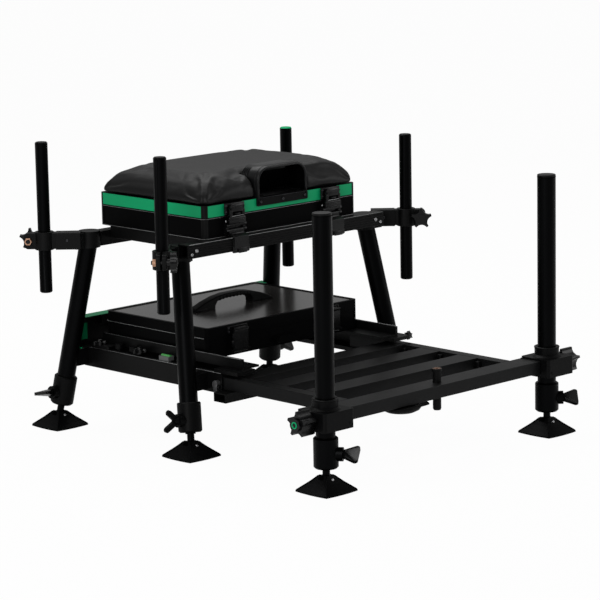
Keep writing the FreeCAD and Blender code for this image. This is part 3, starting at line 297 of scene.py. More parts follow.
def green_backed(name, colour, green, edge_x, edge_z):
    """Black sheet whose top edge and outer ends show its green backing."""
    f = Finish(name)
    cloud = f.noise(18, 4)
    height = f.axis("Z")
    ends = (f.axis("X").size().over(edge_x, 0.0005) * (1 - height.over(edge_z - 0.017, 0.0003))
            * height.over(edge_z - 0.05, 0.0003))
    backing = f.maths("MAXIMUM", ends, height.over(edge_z, 0.0003))
    return f.set(Base_Color=f.blend(backing, f.shades(cloud, colour, 0.8, 1.3),
                                    f.shades(cloud, green, 0.85, 1.15)),
                 Roughness=cloud * 0.16 + 0.36, Specular_IOR_Level=0.2)


def bare_steel(name, colour, rough=0.2):
    """Bright turned steel with ring marks."""
    f = Finish(name)
    turning = f.noise(1200, 3, 0.6)
    cloud = f.noise(45, 4)
    return f.set(Base_Color=f.shades(cloud, colour, 0.75, 1.1), Metallic=1.0,
                 Roughness=cloud * 0.2 + turning * 0.1 + rough,
                 Normal=f.bump(turning, 0.15, 0.0002))


def seat_vinyl(name, colour):
    """Leathercloth: pebbled grain, broad sheen, and a crown that is a little rougher and lightened
    with a painted highlight.
    """
    f = Finish(name)
    pebble = f.cells(620, "SMOOTH_F1")
    crease = f.cells(230, "DISTANCE_TO_EDGE")
    cloud = f.noise(9, 5)
    fine = f.noise(1600, 3, 0.6)
    # painted highlight: the cover is lighter in colour above z 505 mm, where light falls on its
    # top; it is also a little rougher there
    high = f.axis("Z").over(0.505, 0.03)
    clouded = f.shades(cloud, colour, 0.82, 1.18)
    return f.set(Base_Color=f.blend(high * 0.3 * cloud, clouded, tone(colour, 1.5)),
                 Roughness=cloud * 0.1 + pebble * 0.1 + high * 0.06 + 0.34,
                 Specular_IOR_Level=0.26, Sheen_Weight=0.03, Sheen_Roughness=0.45,
                 Normal=f.bump(pebble * 0.5 + crease * 0.5 + fine * 0.25, 0.14, 0.0003))


def level_glass(name, colour):
    """The green liquid of the spirit level behind clear acrylic."""
    f = Finish(name)
    cloud = f.noise(300, 3)
    return f.set(Base_Color=f.shades(cloud, colour, 0.8, 1.25), Roughness=cloud * 0.1 + 0.05,
                 Coat_Weight=1.0, Coat_Roughness=0.04)


class SeatBoxColours(bpy.types.PropertyGroup):
    """Colours of the finishes."""

    shell: bpy.props.FloatVectorProperty(
        name="Shell", description="Moulded black of trays and grips",
        subtype="COLOR", default=(0.0026, 0.0027, 0.0029), min=0, max=1)
    metal: bpy.props.FloatVectorProperty(
        name="Frame", description="Coated rails, legs and slats",
        subtype="COLOR", default=(0.0034, 0.0035, 0.0036), min=0, max=1)
    tube: bpy.props.FloatVectorProperty(
        name="Tube", description="Anodised posts and rods",
        subtype="COLOR", default=(0.0020, 0.0022, 0.0025), min=0, max=1)
    green: bpy.props.FloatVectorProperty(
        name="Green", description="Lid band, rear panel and end caps",
        subtype="COLOR", default=(0.0035, 0.43, 0.165), min=0, max=1)
    vinyl: bpy.props.FloatVectorProperty(
        name="Vinyl", description="Cover of the seat cushion",
        subtype="COLOR", default=(0.0036, 0.0036, 0.0037), min=0, max=1)
    lid: bpy.props.FloatVectorProperty(
        name="Case lid", description="Glossy panel on the case",
        subtype="COLOR", default=(0.052, 0.049, 0.047), min=0, max=1)


class SeatBoxSizes(bpy.types.PropertyGroup):
    """Sizes of the dressing and of the camera."""

    edge: bpy.props.FloatProperty(
        name="Edge", description="Width of the broken edges on hard parts",
        default=0.0006, min=0, unit="LENGTH")
    distance: bpy.props.FloatProperty(
        name="Camera distance", description="From the camera to its target",
        default=5.49506, min=1, unit="LENGTH")
    lens: bpy.props.FloatProperty(
        name="Lens", description="Focal length in millimetres", default=167.683, min=10)


FINISHES = {}


def finish(name):
    """The shared material of one finish, made on first use."""
    if name in FINISHES:
        return FINISHES[name]
    c = bpy.context.scene.seat_box_colours
    maker, *facts = {
        "frame_metal": (painted_frame, "Coated frame", c.metal),
        "slat_metal": (painted_frame, "Coated slats", tone(c.metal, 2.2), 0.4),
        "corner_metal": (painted_frame, "Corner profile", tone(c.metal, 1.6), 0.34),
        # bright steel for the latch wires, and painted highlight for the thin lines along the
        # frame's edges
        "worn_edge": (bare_steel, "Worn edge", (0.5, 0.51, 0.51), 0.3),
        "anodised_tube": (anodised_metal, "Anodised tube", c.tube),
        "stem_steel": (anodised_metal, "Blacked stem", c.tube, 0.3),
        "moulded_plastic": (moulded_plastic, "Moulded nylon", c.shell, 0.4),
        "knob_plastic": (moulded_plastic, "Knob nylon", c.shell, 0.24, 0.3),
        "foot_plastic": (moulded_plastic, "Foot nylon", c.shell, 0.44, 0.05),
        "latch_plastic": (moulded_plastic, "Latch nylon", tone(c.shell, 1.4), 0.26, 0.3),
        "box_shell": (moulded_plastic, "Tray shell", tone(c.shell, 0.8), 0.4, 0.03),
        # painted shade: a near-black for hollows, gaps and undersides where shade falls
        "painted_shade_black": (moulded_plastic, "Shaded hollow", tone(c.shell, 0.3), 0.8, 0.02),
        "case_gloss": (gloss_panel, "Case lid laminate", c.lid),
        "green_panel": (green_anodised, "Green panel", c.green),
        "green_cap": (green_anodised, "Green cap", tone(c.green, 1.1)),
        "green_back": (green_backed, "Rear sheet", c.metal, tone(c.green, 0.55), 0.2262, 0.2196),
        "screw_steel": (bare_steel, "Bright steel", (0.5, 0.5, 0.51)),
        "dark_screw": (bare_steel, "Dark screw", (0.07, 0.07, 0.075)),
        "copper_nut": (bare_steel, "Copper plating", (0.62, 0.36, 0.24)),
        "level_body": (moulded_plastic, "Level body", (0.12, 0.125, 0.125), 0.3, 0.5),
        "seat_fabric": (seat_vinyl, "Seat leathercloth", c.vinyl),
        "strap_rubber": (moulded_plastic, "Strap rubber", tone(c.shell, 2.0), 0.3, 0.3),
        "level_liquid": (level_glass, "Level liquid", (0.1, 0.5, 0.12)),
    }[name]
    FINISHES[name] = maker(*facts)
    return FINISHES[name]


def dress(obj, surface):
    obj.data.materials.clear()
    obj.data.materials.append(finish(surface))


def paint_faces(obj, surface, test):
    """Give the faces that pass a test their own finish."""
    obj.data.materials.append(finish(surface))
    index = len(obj.data.materials) - 1
    for face in obj.data.polygons:
        if test(face.center, face.normal):
            face.material_index = index


def shade_smooth(mesh):
    mesh.polygons.foreach_set("use_smooth", [True] * len(mesh.polygons))


def break_edges(obj, width, segments=2):
    """Merge the loose triangles, break the edges and shade the result smoothly."""
    weld = obj.modifiers.new("Merge", "WELD")
    weld.merge_threshold = 0.00001
    bevel = obj.modifiers.new("Broken edge", "BEVEL")
    bevel.width = width
    bevel.segments = segments
    bevel.limit_method = "ANGLE"
    bevel.angle_limit = EDGE_ANGLE
    bevel.use_clamp_overlap = True
    bevel.harden_normals = True
    normals = obj.modifiers.new("Face weight", "WEIGHTED_NORMAL")
    normals.keep_sharp = False
    shade_smooth(obj.data)


def wall(obj, name, thickness):
    """Thicken a sheet evenly to both sides."""
    solid = obj.modifiers.new(name, "SOLIDIFY")
    solid.thickness = thickness
    solid.offset = 0.0


def bake_modifiers(obj):
    """Apply every modifier so that the mesh holds the final shape."""
    graph = bpy.context.evaluated_depsgraph_get()
    mesh = bpy.data.meshes.new_from_object(obj.evaluated_get(graph))
    obj.modifiers.clear()
    old = obj.data
    obj.data = mesh
    bpy.data.meshes.remove(old)


def object_of(name, shape):
    """A finished bmesh becomes an object in the scene."""
    mesh = bpy.data.meshes.new(name)
    shape.to_mesh(mesh)
    shape.free()
    obj = bpy.data.objects.new(name, mesh)
    bpy.context.scene.collection.objects.link(obj)
    return obj


def piece(name, shape, surface, body, slot="moulded_plastic"):
    """A finished bmesh becomes a dressed object that rides on a body."""
    bmesh.ops.remove_doubles(shape, verts=shape.verts, dist=0.000005)
    bmesh.ops.recalc_face_normals(shape, faces=shape.faces)
    obj = object_of(name, shape)
    shade_smooth(obj.data)
    dress(obj, surface)
    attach(obj, body)
    return obj


class Build:
    """Shapes gathered into one mesh, each made at the origin and set in its place."""

    def __init__(self):
        self.tool = bmesh.new()

    def take(self, shape, place=None):
        if place is not None:
            bmesh.ops.transform(shape, matrix=place, verts=shape.verts)
        bmesh.ops.recalc_face_normals(shape, faces=shape.faces)
        mesh = bpy.data.meshes.new("shape")
        shape.to_mesh(mesh)
        shape.free()
        self.tool.from_mesh(mesh)
        bpy.data.meshes.remove(mesh)
        return self

    def done(self, name, *facts):
        return piece(name, self.tool, *facts)


def fitting(name, shape, *facts, place=None):
    """A piece of one shape, with its surface and its body; its slot is not used."""
    return Build().take(shape, place).done(name, *facts)


def spot(x, y, z):
    """A point given in millimetres."""
    return Vector((x, y, z)) * MM


def set_at(x, y, z, lean=0.0):
    """A place in millimetres, leaning about X by some degrees."""
    return Matrix.Translation(spot(x, y, z)) @ Matrix.Rotation(math.radians(lean), 4, "X")


def facing(place, way):
    """A place whose Z points along a direction."""
    return Matrix.Translation(place) @ Vector(way).to_track_quat("Z", "Y").to_matrix().to_4x4()


def block(size, at=(0, 0, 0)):
    """A sharp block, in metres."""
    shape = bmesh.new()
    bmesh.ops.create_cube(shape, size=1.0)
    bmesh.ops.scale(shape, vec=size, verts=shape.verts)
    bmesh.ops.translate(shape, vec=at, verts=shape.verts)
    return shape


def round_off(shape, edges, width, steps):
    bmesh.ops.bevel(shape, geom=edges, offset=width, affect="EDGES", segments=steps,
                    profile=0.5, material=-1)


def upright(edge):
    low, high = sorted(vert.co.z for vert in edge.verts)
    return high - low > 0.01


def slab(x, y, z, edge, steps=2):
    """A block in millimetres, centred on the origin, with rounded edges."""
    shape = block(spot(x, y, z))
    round_off(shape, shape.edges, edge * MM, steps)
    return shape


def turned(points, sides=36):
    """A turned shape: radius and height points in millimetres, spun round Z."""
    shape = bmesh.new()
    verts = [shape.verts.new((r * MM, 0, z * MM)) for r, z in points]
    edges = [shape.edges.new(pair) for pair in zip(verts, verts[1:])]
    bmesh.ops.spin(shape, geom=verts + edges, axis=(0, 0, 1), cent=(0, 0, 0), angle=math.tau,
                   steps=sides, use_merge=True)
    bmesh.ops.remove_doubles(shape, verts=shape.verts, dist=0.000002)
    return shape


def pan_head(radius, high):
    """A pan-head screw with a dimpled recess, standing on the origin along Z."""
    return turned(((0, high * 0.45), (radius * 0.28, high * 0.5), (radius * 0.34, high),
                   (radius * 0.6, high * 0.94), (radius * 0.88, high * 0.6), (radius, 0.15),
                   (radius, 0), (0, 0)), 24)


def wire(points, radius, closed=False):
    """A round wire through points in millimetres."""
    curve = bpy.data.curves.new("wire", "CURVE")
    curve.dimensions = "3D"
    curve.bevel_depth = radius * MM
    curve.bevel_resolution = 3
    curve.use_fill_caps = True
    line = curve.splines.new("POLY")
    line.points.add(len(points) - 1)
    for point, where in zip(line.points, points):
        point.co = (*spot(*where), 1)
    line.use_cyclic_u = closed
    holder = bpy.data.objects.new("wire", curve)
    mesh = bpy.data.meshes.new_from_object(holder)
    shape = bmesh.new()
    shape.from_mesh(mesh)
    bpy.data.objects.remove(holder)
    bpy.data.meshes.remove(mesh)
    bpy.data.curves.remove(curve)
    return shape


def strip(line, near, deep):
    """A strip that follows a line in X and Z and runs back along Y, in millimetres."""
    shape = bmesh.new()
    verts = [shape.verts.new(spot(x, near, z)) for x, z in line]
    for pair in zip(verts, verts[1:]):
        shape.edges.new(pair)
    grown = bmesh.ops.extrude_edge_only(shape, edges=shape.edges)["geom"]
    bmesh.ops.translate(shape, vec=spot(0, deep, 0),
                        verts=[v for v in grown if isinstance(v, bmesh.types.BMVert)])
    return shape


def loose_parts(shape):
    """The vertices of each part of a mesh that hangs together."""
    left = dict.fromkeys(shape.verts)
    while left:
        part, reached = [], [left.popitem()[0]]
        while reached:
            vert = reached.pop()
            part.append(vert)
            for link in vert.link_edges:
                other = link.other_vert(vert)
                if other in left:
                    del left[other]
                    reached.append(other)
        yield part


def hull_of(points):
    """The closed convex shape round some points."""
    hull = bmesh.new()
    for point in points:
        hull.verts.new(point)
    result = bmesh.ops.convex_hull(hull, input=hull.verts)
    inner = {v for v in result["geom_interior"] + result["geom_unused"]
             if isinstance(v, bmesh.types.BMVert)}
    bmesh.ops.delete(hull, geom=list(inner), context="VERTS")
    return hull


class SEATBOX_OT_frame(bpy.types.Operator):
    """Give every CAD node its finish and broken edges"""

    bl_idname = "seatbox.frame"
    bl_label = "Finish frame"

    def execute(self, context):
        sizes = context.scene.seat_box_sizes
        for name, obj in NODES.items():
            surface = SURFACE.get(name, SLOT_OF.get(name, name))
            width = EDGE_WIDTH.get(name, sizes.edge)
            if name.endswith(("knob", "_pad")):
                width = GRIP_EDGE
            if "latch" in name:
                surface, width = "latch_plastic", LATCH_EDGE
            dress(obj, surface)
            break_edges(obj, width, 3 if name.endswith("knob") else 2)
        self.second_finishes()
        return {"FINISHED"}

    def second_finishes(self):
        """Caps, corner profiles and inlays that share a node with another finish."""
        for name, surface, deep in (("right_rear_rod", "green_cap", 0.0021),
                                    ("left_post", "corner_metal", 0.0042),
                                    ("right_post", "corner_metal", 0.0042),
                                    ("spirit_level", "level_liquid", 0.0029)):
            cap_low = seat_box(name)[1].z - deep
            paint_faces(NODES[name], surface, lambda c, n, low=cap_low: c.z > low)
        pin, nut_low = middle("accessory_pin"), seat_box("accessory_pin")[1].z - 0.012
        nut_radius = 0.0072
        paint_faces(NODES["accessory_pin"], "copper_nut", lambda c, n: c.z > nut_low
                    and math.hypot(c.x - pin.x, c.y - pin.y) < nut_radius)
        panel_low, panel_high = 0.226, 0.229
        paint_faces(NODES["case_lid"], "box_shell",
                    lambda c, n: not (n.z > 0.9 and panel_low < c.z < panel_high))
        paint_faces(NODES["rear_panel"], "green_back", lambda c, n: n.y < -0.9 or n.z > 0.9)
        corner_x, corner_wide = 0.1965, 0.0097
        corner_front = TRAY_FRONT * MM + corner_wide
        corner_rear = (TRAY_FRONT + TRAY_DEEP) * MM - corner_wide
        for name in ("seat_tray", "lid_frame"):
            paint_faces(NODES[name], "corner_metal", lambda c, n: abs(c.x) > corner_x
                        and (c.y < corner_front or c.y > corner_rear))


class SEATBOX_OT_latches(bpy.types.Operator):
    """Dress the latches with keeper plates, lever panels, windows and ribs"""

    bl_idname = "seatbox.latches"
    bl_label = "Latches"

    def execute(self, context):
        for side, sign in SIDES:
            mid = sign * LATCH_X
            tray_lever = side + "_tray_lever"
            self.keeper(side + "_lid_keeper", mid, TRAY_FRONT - 3.9, 457.5, 22, "seat_lid",
                        (463.6, 451.8))
            self.stage(side + "_lid_lever", mid, 31.4, 0.0, 459.5)
            self.keeper(side + "_tray_keeper", mid, TRAY_FRONT - 2.2, 421.5, 10, "frame",
                        (421.5,))
            self.stage(tray_lever, mid, 22.4, 9.0, 404.4)
            fitting(tray_lever + "_tab", slab(22, 3.4, 9, 1.2), "latch_plastic", tray_lever,
                    place=set_at(mid, 17.6, 377.6))
            mid = sign * CASE_LATCH_X
            self.keeper(side + "_case_keeper", mid, CASE_FRONT - 3.9, 219.2, 15, "case_top",
                        (223.0, 215.4))
            self.stage(side + "_case_lever", mid, CASE_FRONT - 10.9, 0.0, 216.5, ribs=3)
        return {"FINISHED"}

    def keeper(self, name, mid, y, z, high, body, rows):
        """A plate with rows of two screws."""
        fitting(name, slab(52, 1.8, high, 0.6), "latch_plastic", body, place=set_at(mid, y, z))
        heads = Build()
        for row in rows:
            for way in WAYS:
                at = spot(mid + way * 22.3, y - 0.9, row)
                heads.take(pan_head(2.3, 1.3), facing(at, TO_FRONT))
        heads.done(name + "_screws", "dark_screw", body, "screw_steel")

    def stage(self, body, mid, y, drop, z, ribs=2):
        """The front of one lever: a panel with its window and bar above a ribbed roll."""
        panel = Build()
        panel.take(slab(31, 2.6, 15, 0.9, 3), set_at(mid, y + drop * 0.72, z, -5 - drop * 1.6))
        for way in WAYS:
            panel.take(slab(6.5, 4.2, 17, 1.5, 3), set_at(mid + way * 16.4, y + drop * 0.3, z - 12))
        panel.take(slab(43, 6.4, 14.5, 2.8, 4), set_at(mid, y + 0.6, z - 24))
        for n in range(ribs):
            panel.take(slab(40, 1.8, 1.9, 0.7), set_at(mid, y - 2.9, z - 22.3 - 5.8 * n))
        panel.take(slab(13, 2.4, 2.4, 0.6), set_at(mid + 0.5, y - 1.5 + drop * 0.35, z - 11.4))
        panel.done(body + "_cover", "latch_plastic", body)
        # the window is painted shade: a near-black sheet in the lever's opening
        fitting(body + "_window", slab(25, 1.6, 7.4, 0.3, 1), "painted_shade_black", body,
                place=set_at(mid, y - 0.6 + drop * 0.35, z - 11.6))
        left, right = mid - 15, mid + 15
        loop = wire([(left, y - 0.6, z - 8.2), (left, y - 1.4, z - 15.4),
                     (right, y - 1.4, z - 15.4), (right, y - 0.6, z - 8.2)], 0.75)
        fitting(body + "_wire", loop, "worn_edge", body, "screw_steel")


class SEATBOX_OT_strap(bpy.types.Operator):
    """Make the carry strap: a thin rubber arch with a rolled rim and ribbed shoulders"""

    bl_idname = "seatbox.strap"
    bl_label = "Carry strap"

    def execute(self, context):
        low, high = seat_box("carry_strap")
        half, top, foot = high.x / MM, high.z / MM, low.z / MM
        near, far = low.y / MM, high.y / MM
        radius = 27.0
        rubber = ("strap_rubber", "seat_lid")
        band = self.arch(half - 1.6, top - 1.6, foot - 2, radius)
        strap = piece("strap_band", strip(band, near + 1.5, far - near - 3), *rubber)
        wall(strap, "Wall", 0.0042)
        soft = strap.modifiers.new("Soft edge", "BEVEL")
        soft.width = 0.0012
        soft.segments = 2
        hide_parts("carry_strap")
        # the lining is painted shade: a near-black skin inside the arch, where the strap's
        # underside lies in shade
        inner = self.arch(half - 4.4, top - 4.4, foot, radius - 2)
        lining = piece("strap_lining", strip(inner, near + 2.5, far - near - 4), "painted_shade_black",
                       "seat_lid")
        wall(lining, "Skin", 0.0008)
        rim = self.arch(half - 2.2, top - 2.4, foot - 12, radius - 0.6)
        fitting("strap_rim", wire([(x, near + 1.6, z) for x, z in rim], 2.7), *rubber)
        bead = self.arch(half + 0.4, top + 0.2, foot + 8, radius + 1)
        fitting("strap_bead", wire([(x, near + 7.5, z) for x, z in bead], 0.9), *rubber)
        over = [at for at in self.arch(half + 0.6, top + 0.4, foot + 8, radius + 1) if at[0] > 0]
        shoulder = over[4:13]
        ribs = Build()
        for way in WAYS:
            for n in range(4):
                y = far - 3.5 - 4.6 * n
                ribs.take(wire([(way * x, y, z) for x, z in shoulder], 1.25))
        ribs.done("strap_ribs", *rubber)
        self.plate(half)
        floor = Build().take(slab(2 * half - 8, far - near, 1.6, 0.5),
                             set_at(0, (near + far) / 2, foot + 1.4))
        for way in WAYS:
            floor.take(slab(16, 30, 2.6, 1.0), set_at(way * (half - 14), near + 22, foot + 3.2))
        floor.done("strap_floor", "box_shell", "seat_lid")
        return {"FINISHED"}

    def plate(self, half):
        """The screws and the lip of the plate that holds the strap."""
        front = seat_box("strap_plate")[0].y / MM
        heads = Build()
        for x in (-60, 0, 60):
            heads.take(pan_head(2.9, 1.5), facing(spot(x, front, 461), TO_FRONT))
        heads.done("strap_plate_screws", "dark_screw", "seat_lid", "screw_steel")
        fitting("strap_plate_lip", slab(2 * half - 2, 0.8, 0.9, 0.3, 1), "dark_screw",
                "seat_lid", "screw_steel", place=set_at(0, front + 0.2, 468.8))

    def arch(self, half, top, foot, radius, steps=12):
        """Points up one side, over the rounded shoulders and down the other."""
        points = [(-half, foot), (-half, top - radius - 12)]
        for n in range(steps + 1):
            turn = math.pi - n / steps * math.pi / 2
            points.append((-half + radius + radius * math.cos(turn),
                           top - radius + radius * math.sin(turn)))
        points += [(-x, z) for x, z in reversed(points)]
        return points


class SEATBOX_OT_trim(bpy.types.Operator):
    """Add painted highlight lines, screws, caps and small fittings"""

    bl_idname = "seatbox.trim"
    bl_label = "Trim and fittings"

    def execute(self, context):
        for group in (self.edge_lines, self.handle_ribs, self.screws, self.feet, self.wings,
                      self.post_rings, self.footplate, self.base):
            group()
        return {"FINISHED"}

    def frame_line(self, name, half, y0, y1, z, body, thick=0.9, radius=9):
        """A thin bright line round a box, a painted highlight along the edge of its profile."""
        x, near, far = half - radius, y0 + radius, y1 - radius
        points = []
        for cx, cy, start in ((x, near, -90), (x, far, 0), (-x, far, 90), (-x, near, 180)):
            for n in range(5):
                turn = math.radians(start + 22.5 * n)
                points.append((cx + radius * math.cos(turn), cy + radius * math.sin(turn), z))
        fitting(name, wire(points, thick / 2, True), "worn_edge", body, "frame_metal")

    def rail_line(self, name, size, at):
        # a thin bright bar of painted highlight along the edge of a rail or runner
        fitting(name, slab(*size, 0.3, 1), "worn_edge", "frame", "frame_metal", place=set_at(*at))

    def edge_lines(self):
        """Painted highlight lines along the edges of the tray, the case, its runners and the rails.
        """
        tray = TRAY_FRONT + 0.1, TRAY_FRONT + TRAY_DEEP - 0.1
        self.frame_line("tray_foot_line", 206.4, *tray, 404.6, "frame")
        self.frame_line("tray_seam_line", 206.4, *tray, 443.1, "frame", 0.7)
        rear = CASE_FRONT + CASE_DEEP
        self.frame_line("case_seam_line", 207, CASE_FRONT, rear, 209.0, "case", 1.1)
        self.frame_line("case_lid_line", 206.4, CASE_FRONT + 0.6, rear - 0.6, 229.2, "case_top",
                        0.8, 8)
        self.rail_line("front_rail_edge_line", (530, 0.9, 0.9), (0, RAIL_FRONT + 0.3, 403.2))
        for side, sign in SIDES:
            self.rail_line(side + "_rail_edge_line", (1.0, 402, 1.0), (sign * 239.4, 171.5, 157.7))
            self.rail_line(side + "_runner_edge_line", (0.8, 400, 0.8), (sign * 214.8, 141, 184.9))

    def handle_ribs(self):
        """The finger ribs under the case handle, and its two feet."""
        y, top = middle("case_handle").y / MM, seat_box("case_handle")[1].z / MM
        ribs = Build()
        for n in range(-4, 5):
            x = n * 9.5
            sag = max(0.0, abs(x) - 22) * 0.135
            ribs.take(slab(4.4, 24.4, 8.2, 2.0, 3), set_at(x, y, top - 5.6 - sag))
        ribs.done("handle_finger_ribs", "moulded_plastic", "case_top")
        feet = Build()
        for way in WAYS:
            feet.take(slab(30, 24.5, 5, 1.6, 3), set_at(way * 90, y, 231))
        feet.done("handle_feet", "moulded_plastic", "case_top")

    def screws(self):
        """The screws at the ends of the front rail and on both sides of each rod's arm."""
        ends, arms = Build(), Build()
        for sign in WAYS:
            ends.take(pan_head(3.4, 1.8), facing(spot(sign * 258, RAIL_FRONT - 0.1, 384), TO_FRONT))
            for way in WAYS:
                along = Vector((sign, way, 0)).normalized()
                across = Vector((along.y, -along.x, 0)) * (1 if sign * way < 0 else -1)
                at = spot(sign * ROD_X, ROD_MID_Y + way * ROD_APART, ARM_Z) - along * 0.046
                for out in (-across, across):
                    arms.take(pan_head(3.2, 1.7), facing(at + out * 0.0139, out))
        ends.done("rail_end_screws", "screw_steel", "frame", "screw_steel")
        arms.done("arm_screws", "dark_screw", "frame", "screw_steel")

    def feet(self):
        """The pin heads, notches darkened with painted shade, and corner ridges of each pad."""
        for name in NODES:
            if not name.endswith("_pad"):
                continue
            mid, body = middle(name), BODY_OF[name]
            heads, notches, ridges = Build(), Build(), Build()
            for way in WAYS:
                heads.take(turned(PIN_HEAD), facing(
                    Vector((mid.x, mid.y + way * 0.0165, 0.0235)), (0, way, 0.25)))
                notches.take(turned(PAD_NOTCH, 28), facing(
                    Vector((mid.x + way * 0.0143, mid.y, 0.0252)), (way * 0.77, 0, 0.64)))
                for side in WAYS:
                    ridges.take(wire([(mid.x / MM + way * r, mid.y / MM + side * r, z)
                                      for r, z in PAD_RIDGE], 1.0))
            heads.done(name + "_pin_heads", "screw_steel", body, "screw_steel")
            # the notches are painted shade: near-black inside each recess
            notches.done(name + "_notches", "painted_shade_black", body, "foot_plastic")
            ridges.done(name + "_ridges", "foot_plastic", body, "foot_plastic")

    def wings(self):
        """Fill each wing bolt's two ears to one broad paddle."""
        most_high, lowest, highest = 0.044, 0.03, 0.13
        for name in ("leg_wing_bolts", "left_post", "right_post"):
            source = bmesh.new()
            source.from_mesh(NODES[name].data)
            source.transform(NODES[name].matrix_world)
            bmesh.ops.remove_doubles(source, verts=source.verts, dist=0.00001)
            paddles = Build()
            for part in loose_parts(source):
                bottom, top = min(v.co.z for v in part), max(v.co.z for v in part)
                if top - bottom <= most_high and bottom >= lowest and top <= highest:
                    paddles.take(hull_of([v.co for v in part]))
            source.free()
            if paddles.tool.verts:
                ears = paddles.done(name + "_paddles", "knob_plastic", BODY_OF[name])
                break_edges(ears, PADDLE_EDGE)

    def post_rings(self):
        """The green ring and boss of each post knob, and the rings on its post and block."""
        for side, sign in SIDES:
            low, high = seat_box(side + "_post_knob")
            body, y = BODY_OF[side + "_post_knob"], middle(side + "_post_pad").y / MM
            face = facing(spot((low.x if sign < 0 else high.x) / MM, y, POST_KNOB_Z), (sign, 0, 0))
            fitting(side + "_knob_ring", turned(KNOB_RING), "green_cap", body, "green_panel",
                    place=face)
            fitting(side + "_knob_boss", turned(KNOB_BOSS), "knob_plastic", body,
                    "knob_plastic", place=face)
        for side, sign in SIDES:
            y, top = middle(side + "_post_pad").y / MM, seat_box(side + "_post")[1].z / MM
            # the groove ring at the top of the post is painted shade, near-black
            fitting(side + "_post_cap_ring", turned(CAP_RING), "painted_shade_black",
                    BODY_OF[side + "_post"], "anodised_tube", place=set_at(sign * POST_X, y, top))
            fitting(side + "_collar_ring", turned(COLLAR_RING, 48), "corner_metal", "footplate",
                    place=set_at(sign * POST_X, y, 0))

    def footplate(self):
        """The boss below the front slat, the slats' end plugs and the front slat's joints."""
        low = seat_box("footplate_frame")[0] / MM
        fitting("slat_underside_boss", turned(SLAT_DOME), "moulded_plastic", "footplate",
                place=set_at(-101, low.y + 24, low.z - 3))
        plugs, joints = Build(), Build()
        for sign in WAYS:
            for y in SLAT_ENDS_Y:
                plugs.take(slab(10, 12, 15, 2.0), set_at(sign * SLAT_END_X, y, 138))
            joints.take(slab(1.2, 51.5, 26, 0.3, 1), set_at(sign * 268.2, low.y + 25, 138.2))
        plugs.done("slat_end_plugs", "moulded_plastic", "footplate")
        # the joint lines are painted shade: near-black strips where the front slat meets the frame
        joints.done("slat_joint_lines", "painted_shade_black", "footplate")

    def base(self):
        """The star knobs on the side rails, and near-black sheets of painted shade beside and under
        the runners.
        """
        knobs, ledges = Build(), Build()
        for sign in WAYS:
            for y in STAR_KNOB_Y:
                at = set_at(sign * STAR_KNOB_X, y, STAR_KNOB_Z)
                for n in range(5):
                    turn = Matrix.Rotation(math.radians(72 * n + 20), 4, "Z")
                    knobs.take(slab(11, 7.5, 9, 2.6, 3), at @ turn @ set_at(9, 0, 0))
                knobs.take(turned(STAR_HUB), at)
            ledges.take(slab(13, 396, 1.4, 0.3, 1), set_at(sign * 221, 170, 158.6))
            ledges.take(slab(1.6, 396, 15, 0.3, 1), set_at(sign * 213.6, 170, 158.6))
        knobs.done("rail_star_knobs", "knob_plastic", "frame")
        # these sheets are painted shade beside and under each runner
        ledges.done("runner_painted_shade", "painted_shade_black", "frame", "frame_metal")


